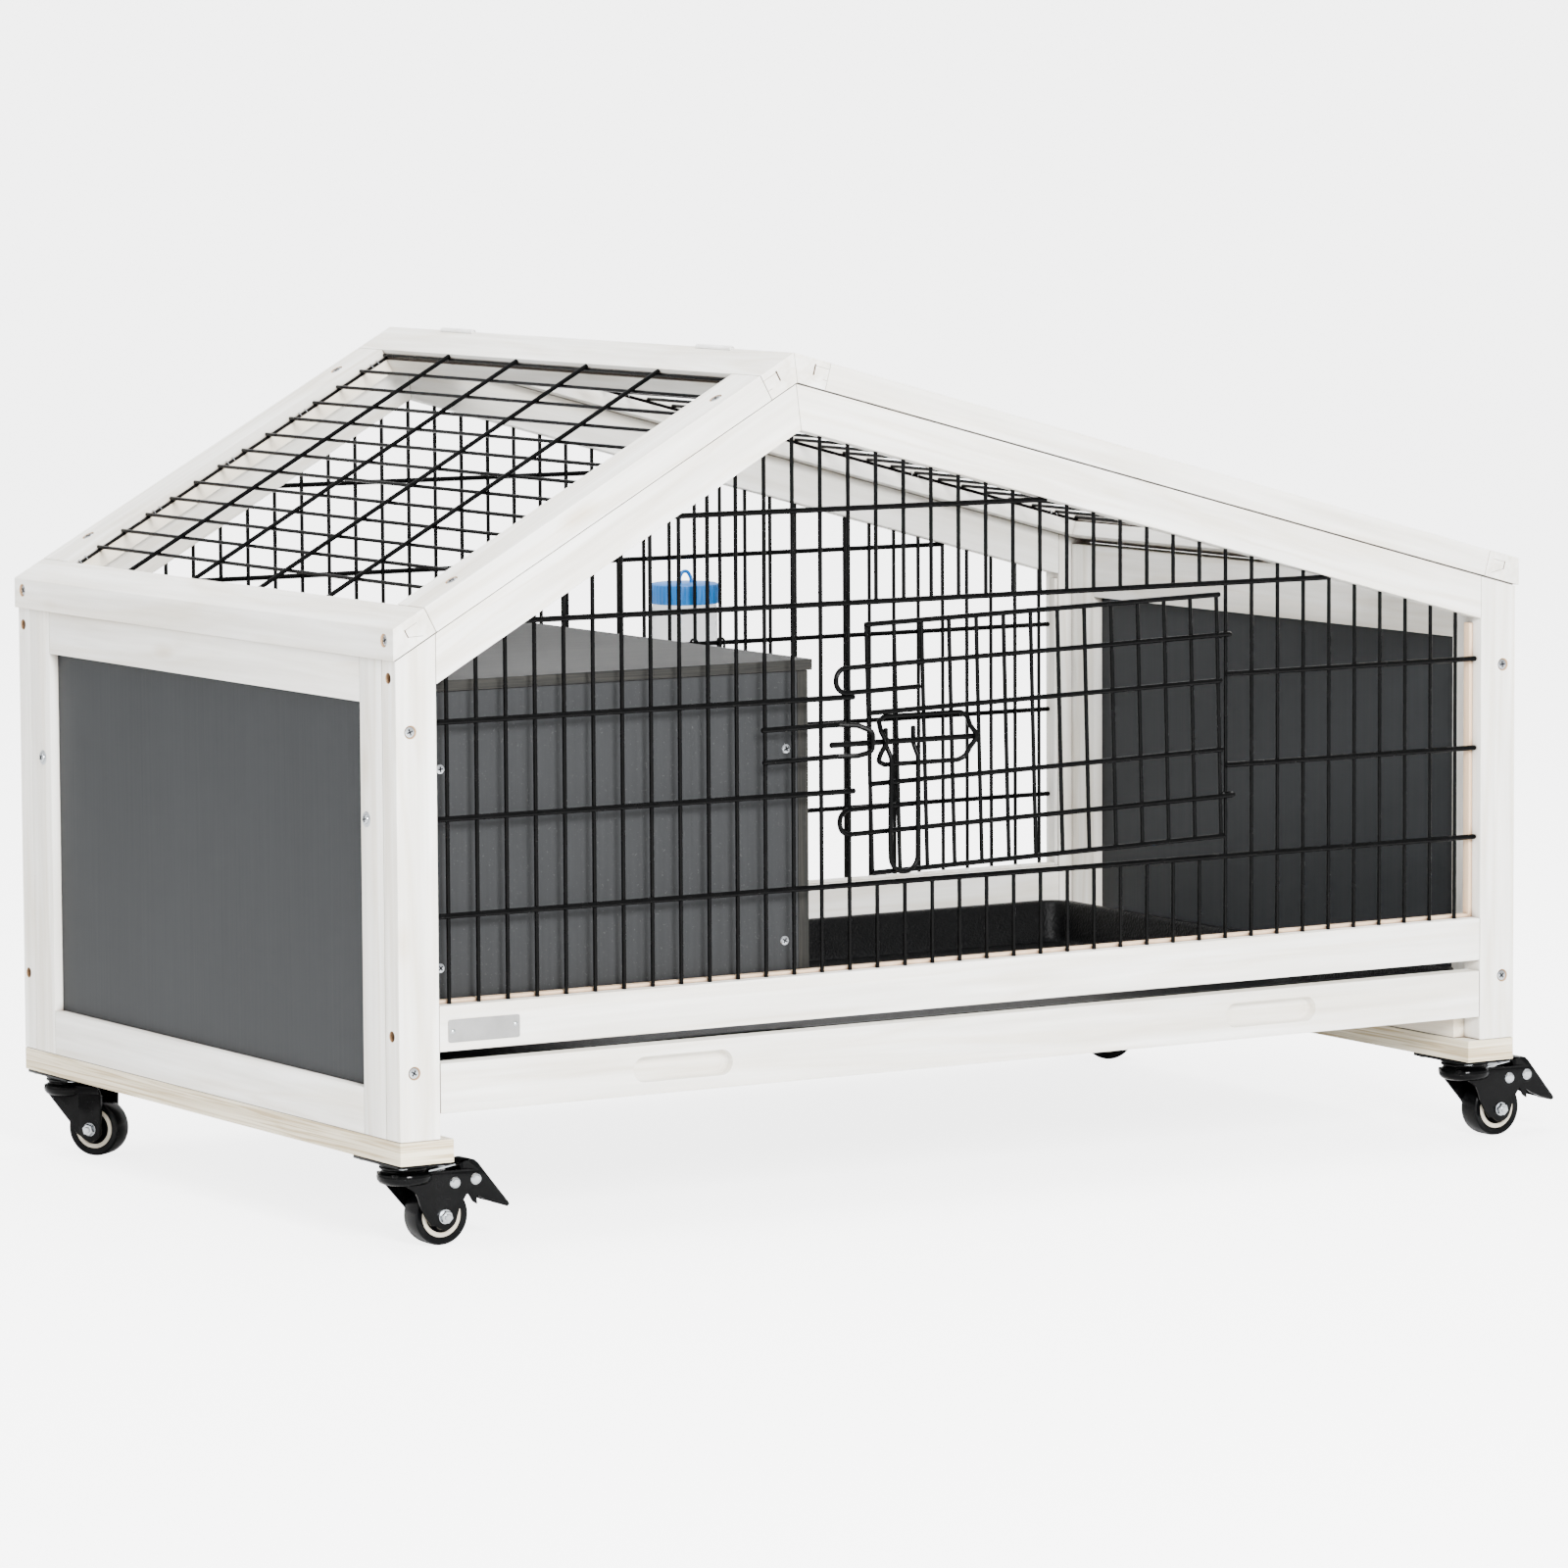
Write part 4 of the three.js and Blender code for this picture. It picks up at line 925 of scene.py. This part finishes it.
# ---- hide box, tray, drawer ----

def hide_box():
    dress("hide_front_panel", HIDE_Y, 0.25)
    dress("hide_rear_panel", HIDE_Y, 0.25)
    dress("hide_divider", HIDE_X, 0.25)
    dress("hide_top_board", HIDE_Z, 0.3)
    spots = [(341.1, 263.1), (339.0, 120.3), (48.2, 264.6), (46.8, 120.6)]
    places = [((x, y, z), (0, out, 0)) for y, out in ((22.8, -1), (DEPTH - 22.8, 1)) for x, z in spots]
    screws("hide_screws", places, "hutch", radius=3.7, dome=0.7, sink=-0.15)


def tray():
    """Moulded pan: its levels are (inset, height, corner radius), up the outside and down the inside."""
    x0, x1, y0, y1 = 36.0, 964.0, 17.0, 586.0
    levels = [(12.5, 18.0, 12), (10.5, 19.5, 13), (6.0, 51.8, 15), (0.6, 52.2, 19), (0.0, 53.0, 20),
              (0.0, 54.0, 20), (0.8, 55.0, 19.5), (7.0, 55.0, 14), (8.2, 54.2, 13), (9.0, 52.0, 13),
              (11.5, 25.0, 11.5), (12.6, 22.2, 11), (15.0, 20.7, 10), (18.0, 20.5, 9)]
    bm = bmesh.new()
    rings = []
    for inset, z, radius in levels:
        outline = rounded_box(x0 + inset, x1 - inset, y0 + inset, y1 - inset, radius, 6)
        rings.append([bm.verts.new((a, b, z)) for a, b in outline])
    skin(bm, rings)
    publish("tray_pan", bm, TRAY, "drawer", sharp=50, instead_of="tray")


def stadium(cx, cz, length, height):
    r = height / 2
    half = length / 2 - r
    return arc((cx + half, cz), r, -90, 90, 12) + arc((cx - half, cz), r, 90, 270, 12)


GRIP_X = (237.0, 765.5)
GRIP_Z = 37.15
GRIP_LENGTH = 85
GRIP_HEIGHT = 19


def drawer_front():
    """A full-length board with two routed finger grips, which narrow as they go in."""
    cutters = bmesh.new()
    for cx in GRIP_X:
        rings = []
        for y, shrink in ((-3.0, -0.6), (0.1, 0.0), (6.4, 0.4), (8.2, 1.4), (9.0, 3.2)):
            outline = stadium(cx, GRIP_Z, GRIP_LENGTH - 2 * shrink, GRIP_HEIGHT - 2 * shrink)
            rings.append([cutters.verts.new((a, y, b)) for a, b in outline])
        skin(cutters, rings)
    blank = bmesh.new()
    block(blank, (33.6, 0, 18.3), (966.4, 16, 54.8), 0.9)
    carve("drawer_front", WHITE["x"], cutters, blank=blank)


# ---- water bottle ----

BOTTLE_X, BOTTLE_Y = 625.0, 638.0


def bottle_shell():
    x, y = BOTTLE_X, BOTTLE_Y
    bm = bmesh.new()
    outer = [(13, 155.4), (14.6, 156), (15.2, 160), (19, 165), (25.4, 171), (27.2, 176), (27.2, 200),
             (26.7, 203), (27.2, 206), (27.2, 268), (26.7, 271), (27.2, 274), (27.2, 314), (26.4, 319.4)]
    inner = [(r - 1.3, z if z > 160 else z + 1.2) for r, z in reversed(outer[1:-1])]
    lathe(bm, outer + [(25.0, 319.4)] + inner + [(12, 158)], (x, y, 0), sides=48)
    publish("bottle_shell", bm, CLEAR, sharp=50, instead_of="bottle_body")


def bottle_cap():
    """Ribbed cap with a loop to hang it by."""
    x, y = BOTTLE_X, BOTTLE_Y
    bm = bmesh.new()
    steps = 44 * 4
    rings = []
    for radius, z in ((28.2, 319.6), (29.0, 320.4), (29.2, 332.5), (28.4, 335.4), (26.6, 336.4), (4, 336.6)):
        ring = []
        for k in range(steps):
            reach = radius - (0.7 if k % 4 < 2 and 320 < z < 334 else 0.0)
            turn = 2 * pi * k / steps
            ring.append(bm.verts.new((x + reach * cos(turn), y + reach * sin(turn), z)))
        rings.append(ring)
    skin(bm, rings)
    loop = [(-4.5, 335), (-4.8, 341), (-2, 346), (3, 346), (6, 341), (7, 335)]
    tube(bm, fillet([(x + dx, y, z) for dx, z in loop], 4), 1.5)
    publish("bottle_lid", bm, BLUE, instead_of="bottle_cap")


def bottle_spout():
    """Blue collar under the bottle and a bent steel tube that ends in a drinking ball."""
    x, y = BOTTLE_X, BOTTLE_Y
    bm = bmesh.new()
    collar = [(6, 138), (15, 138), (17.4, 139.5), (18, 142), (18, 153.5), (17, 155), (14, 155)]
    lathe(bm, collar, (x, y, 0), sides=36, material=1)
    path = [(x, y, 141), (x, y - 3, 134), (x, y - 20, 131), (x, y - 61, 125.5)]
    tube(bm, fillet(path, 6), 3.9, 16)
    lathe(bm, [(2.4, -1.5), (3.0, 0), (3.0, 1.2), (1.0, 2.4)], (x, y - 61.5, 125.4), (0, -1, -0.14), 16)
    publish("bottle_tube", bm, [STEEL, BLUE], instead_of="bottle_spout")


def bottle_hook():
    """A wire band round the bottle whose ends hook over a level wire of the rear wall."""
    x, y = BOTTLE_X, BOTTLE_Y
    bm = bmesh.new()
    band = [Vector((x + 28.4 * sin(a), y + 28.4 * cos(a), 262))
            for a in (radians(-150 + 20 * k) for k in range(16))]
    for end, sx in ((0, -1), (-1, 1)):
        hook = [(13.5, 3.2, 264), (13, 3.4, 292), (13, 13.5, 292), (13, 13.5, 284)]
        tip = [band[end]] + [(x + sx * dx, DEPTH - inset, z) for dx, inset, z in hook]
        tube(bm, fillet(tip, 3), 1.1, 8)
    tube(bm, band, 1.1, 8)
    publish("bottle_hook", bm, WIRE)


# ---- casters ----

CASTERS = {
    "front_left": (22, 34, 0),
    "front_right": (978, 34, 0),
    "rear_left": (22, 576, -55),
    "rear_right": (978, 576, -38),
}
FLOOR_Z = -82
TRAIL = 25.0
AXLE_Z = 22.0
RIVETS = ((33.4, 46.1), (50.7, 47.6))
LEG_IN, LEG_OUT = 12.4, 14.4


def caster_plate(name, place, end):
    bm = bmesh.new()
    low = -32 if end == "front" else -40
    slab(bm, rounded_box(-22, 22, low, low + 72, 3.5, 4), "z", 62.4, 64.4, 0.3)
    race = [(17.5, 57.6), (18.6, 58.2), (18.9, 59.4), (18.2, 60.2), (18.2, 60.6), (19.4, 61.2), (19.6, 62.0),
            (19.0, 62.6)]
    lathe(bm, race, sides=40)
    lathe(bm, [(4.2, 46.5), (4.2, 57.7)], sides=20)
    for sx in (-15.5, 15.5):
        for sy in (low + 6.5, low + 65.5):
            head = [(3.6, -0.1), (3.4, 0.9), (2.2, 1.6), (0.5, 1.8)]
            lathe(bm, head, (sx, sy, 62.4), (0, 0, -1), 16, material=1)
    publish(f"{name}_plate", bm, [BLACK, STEEL], "hutch", place, instead_of=f"{name}_caster_plate")


def fork_outline(braked, side):
    """One stamped leg: the web sweeps wider on the far side, and an ear carries the brake's rivet."""
    if braked and side < 0:
        points = [(-14.0, 55.2), (-15.4, 52.0), (-13.4, 49.4), (-4.4, 45.6), (0.4, 42.4), (2.6, 38.0)]
        points += [(5.9, 28.1), (9.8, 21.4), (13.9, 15.9)]
    else:
        points = [(-14.0, 55.2), (-15.4, 52.0), (-12.6, 48.8), (6.7, 27.9), (12.6, 18.0)]
    points += arc((TRAIL, AXLE_Z), 10.0, 215, 340, 12)
    if braked:
        points += [(36.2, 26.6), (40.4, 33.0), (43.6, 38.2), (47.2, 41.6)]
        points += arc(RIVETS[1], 6.4, -70, 80, 10)
        points += [(44.0, 55.2)]
    else:
        points += [(34.6, 27.6), (34.8, 48.0), (32.6, 53.2), (30.6, 55.2)]
    return points


def axle_ends(bm, braked):
    """The axle with a washer, a nut and a thread tip on each leg, and the rivets that carry the brake."""
    lathe(bm, [(3.0, -17.5), (3.0, 17.5)], (TRAIL, 0, AXLE_Z), (0, 1, 0), 20, material=1)
    washer = [(5.3, 0), (5.3, 0.6), (5.1, 0.8)]
    nut = [(4.5, 0.7), (4.9, 1.1), (4.9, 3.3), (4.3, 4.1), (3.0, 4.2)]
    tip = [(2.5, 4.0), (2.5, 5.2), (1.9, 5.8)]
    head = [(4.4, 0), (4.4, 0.5), (3.6, 1.5), (3.0, 1.6), (2.4, 2.2), (0.5, 2.3)]
    for side in (-1, 1):
        centre = (TRAIL, side * (LEG_OUT if braked else LEG_OUT + 1), AXLE_Z)
        for profile, sides in ((washer, 28), (nut, 6), (tip, 18)):
            lathe(bm, profile, centre, (0, side, 0), sides, material=1)
        for x, z in RIVETS if braked else ():
            lathe(bm, head, (x, side * LEG_OUT, z), (0, side, 0), 24, material=1)


def fork(name, place, braked):
    """Two stamped legs under a pressed dish. The plain casters have a strap over each leg."""
    bm = bmesh.new()
    for side in (-1, 1):
        slab(bm, fork_outline(braked, side), "y", LEG_IN * side, LEG_OUT * side, 0.45)
        if not braked:
            strap = [(15.6, 49.6), (15.4, 27.0)] + arc((TRAIL, AXLE_Z), 9.7, 205, 335, 12) + [(34.8, 49.6)]
            slab(bm, strap, "y", 14.0 * side, 15.5 * side, 0.5)
    slab(bm, rounded_box(-16.5, 30.4, -14.2, 14.2, 2.5, 4), "z", 53.0, 55.4, 0.4)
    dish = [(16.4, 46.8), (18.6, 47.8), (20.2, 50.0), (20.6, 52.4), (19.9, 54.4), (18.2, 55.7),
            (17.2, 56.4), (16.9, 57.2), (9, 57.3)]
    lathe(bm, dish, sides=48)
    axle_ends(bm, braked)
    if braked:
        spring = [(13, 56.6), (34.6, 59.6), (35.0, 58.5), (13, 55.5)]
        slab(bm, spring, "y", -12.5, 12.5, 0.2, material=1)
    publish(f"{name}_fork_stamped", bm, [BLACK, STEEL], f"{name}_fork", place, 30, f"{name}_caster_fork")


def wheel(name, place):
    bm = bmesh.new()
    centre = (TRAIL, 0, AXLE_Z)
    tread = [(16.2, -8.7), (20.2, -9.4), (21.4, -8.7), (21.9, -6.0), (22.0, 0), (21.9, 6.0), (21.4, 8.7),
             (20.2, 9.4), (16.2, 8.7), (15.7, 8.0), (15.7, -8.0)]
    lathe(bm, tread, centre, (0, 1, 0), 64, closed=True)
    for side in (-1, 1):
        ring = [(15.8, 6.5), (15.8, 8.8), (15.3, 9.1), (13.1, 9.1), (12.5, 8.6), (12.5, 6.5)]
        lathe(bm, [(r, side * h) for r, h in ring], centre, (0, 1, 0), 56, material=1, closed=True)
        hub = [(12.7, 5.0), (12.7, 8.0), (12.0, 8.3), (8.6, 7.4), (7.4, 9.6), (3.5, 9.8), (3.5, 5.0)]
        lathe(bm, [(r, side * h) for r, h in hub], centre, (0, 1, 0), 40, closed=True)
    lathe(bm, [(3.5, -6), (14.4, -6), (14.4, 6), (3.5, 6)], centre, (0, 1, 0), 40, closed=True)
    publish(f"{name}_wheel_turned", bm, [TYRE, CREAM], f"{name}_wheel", place, 35, f"{name}_caster_wheel")


def lever(name, place):
    """Pressed pedal: two cheeks on the rivet joined by a curved top, with a hook that meets the tyre."""
    bm = bmesh.new()
    crown = [(38.7, 58.6), (39.6, 59.4), (43.6, 60.4), (49.1, 61.2), (52.2, 60.9), (54.6, 58.8),
             (67.0, 43.4), (80.2, 27.4), (80.9, 25.6), (79.6, 24.8)]
    lower = [(76.4, 25.4), (67.5, 28.0), (57.7, 32.1), (52.6, 36.2)]
    rear = [(45.6, 40.0), (44.6, 48.0), (41.0, 54.0)]
    hook = [(54.0, 29.0), (53.6, 28.2), (50.4, 30.4), (45.7, 38.4)]
    slab(bm, crown + lower + hook + rear[1:], "y", -10.6, -8.4, 0.45)
    slab(bm, crown + lower + rear, "y", 8.4, 10.6, 0.45)
    under = [(x - 1.3, z - 1.5) for x, z in reversed(crown[:-1])]
    slab(bm, crown[:-1] + under, "y", -9.6, 9.6, 0.4)
    lathe(bm, [(1.9, -0.4), (1.8, 0.6), (0.6, 1.1)], (66.0, 0, 44.6), (0.77, 0, 0.63), 16, material=1)
    publish(f"{name}_brake_pedal", bm, [BLACK, STEEL], f"{name}_lever", place, 30, f"{name}_brake_lever")


def casters():
    for name, (x, y, swivel) in CASTERS.items():
        end = name.split("_")[0]
        fixed = Matrix.Translation((x, y, FLOOR_Z))
        turned = fixed @ Matrix.Rotation(radians(swivel), 4, "Z")
        caster_plate(name, fixed, end)
        fork(name, turned, end == "front")
        wheel(name, turned)
        if end == "front":
            lever(name, turned)


# ---- studio ----

# The camera's place is in the hutch's millimetres. Yaw runs from straight back towards the right.
CAMERA_AT = (-2509.155, -4564.377, 789.364)
YAW, PITCH_UP, ROLL = 0.55567, -0.101954, -0.005478
LENS = 168.41565
SENSOR = 36

# The floor and lamps are placed in metres in the shared frame, and lamp powers are in watts.
BACKDROP_GLOW = 13.0


def seen_white(graph, surface, output, share):
    """Lifts the plain backdrop towards white where it is looked at, without lighting the object more."""
    seen = graph.add("LightPath", {}).outputs["Is Camera Ray"]
    part = graph.add("Math", {0: seen, 1: share}, operation="MULTIPLY").outputs[0]
    blend = graph.add("MixShader", {"Fac": part})
    graph.feed(blend.inputs[1], graph.nodes[surface].outputs[0])
    graph.feed(blend.inputs[2], graph.add("Emission", {"Strength": BACKDROP_GLOW}).outputs[0])
    graph.feed(graph.nodes[output].inputs["Surface"], blend.outputs[0])


def backdrop():
    """A pale floor that curves up behind the hutch, square to the camera."""
    graph = new_material("floor")
    haze = graph.noise(graph.coords(), 1.5, 2)
    graph.surface(Base_Color=graph.ramp(haze, [(0.3, (0.95, 0.95, 0.95)), (0.7, (0.94, 0.94, 0.94))]),
                  Roughness=0.9)
    seen_white(graph, "Principled BSDF", "Material Output", 0.32)
    path = [(-12.0, 0.0), (9.0, 0.0)] + arc((9.0, 3.0), 3.0, -80, 0, 8) + [(12.0, 14.0)]
    bm = bmesh.new()
    rows = [[bm.verts.new((x, along, z)) for along, z in path] for x in (-16.0, 16.0)]
    for k in range(len(path) - 1):
        bm.faces.new((rows[0][k], rows[1][k], rows[1][k + 1], rows[0][k + 1])).smooth = True
    floor = mesh_object("floor", bm, [graph.owner])
    floor.rotation_euler = (0, 0, -YAW)


def sky():
    world = bpy.data.worlds.new("studio")
    graph = Graph(world)
    graph.feed(graph.nodes["Background"].inputs["Color"], (1, 1, 1, 1))
    graph.feed(graph.nodes["Background"].inputs["Strength"], 1.35)
    seen_white(graph, "Background", "World Output", 1.0)
    bpy.context.scene.world = world


LAMPS = (
    ("key", (-1.05, -3.9, 1.9), 1.1, 560),
    ("fill", (-3.6, 0.6, 1.8), 2.6, 40),
    ("top", (0.2, 0.6, 3.6), 2.6, 230),
)
AIM = (0, 0, 0.3)


def lamps():
    for name, place, size, power in LAMPS:
        data = bpy.data.lights.new(name, "AREA")
        data.size = size
        data.energy = power
        lamp = into_scene(bpy.data.objects.new(name, data))
        lamp.location = place
        lamp.rotation_euler = (Vector(AIM) - Vector(place)).to_track_quat("-Z", "Y").to_euler()


def camera():
    """A long lens far in front of the left end, looking back to the right and a little down."""
    across, ahead = Vector((cos(YAW), -sin(YAW), 0)), Vector((sin(YAW), cos(YAW), 0))
    forward = ahead * cos(PITCH_UP) + Vector((0, 0, sin(PITCH_UP)))
    up = across.cross(forward)
    right = across * cos(ROLL) + up * sin(ROLL)
    upward = up * cos(ROLL) - across * sin(ROLL)
    turn = Matrix((right, upward, -forward)).transposed().to_4x4()
    data = bpy.data.cameras.new("camera")
    data.sensor_width = SENSOR
    data.lens = LENS
    data.clip_end = 100
    obj = into_scene(bpy.data.objects.new("camera", data))
    obj.matrix_world = Matrix.Translation(TO_ROW @ Vector(CAMERA_AT)) @ turn
    bpy.context.scene.camera = obj


posts()
side_frames()
panel_screws()
gable_boards()
beads()
roof_boards()
maker_plate()
front_wall()
rear_wall()
for layer in (roof_wires, roof_beads):
    layer("left_roof", LEFT)
    layer("right_roof", RIGHT)
wire_door()
latch()
hide_box()
tray()
drawer_front()
bottle_shell()
bottle_cap()
bottle_spout()
bottle_hook()
casters()
for place in ("front", "rear"):
    for leaf in ("fixed", "moving"):
        dress(f"{place}_hinge_{leaf}_leaf", HINGE, 0.15)
backdrop()
sky()
lamps()
camera()
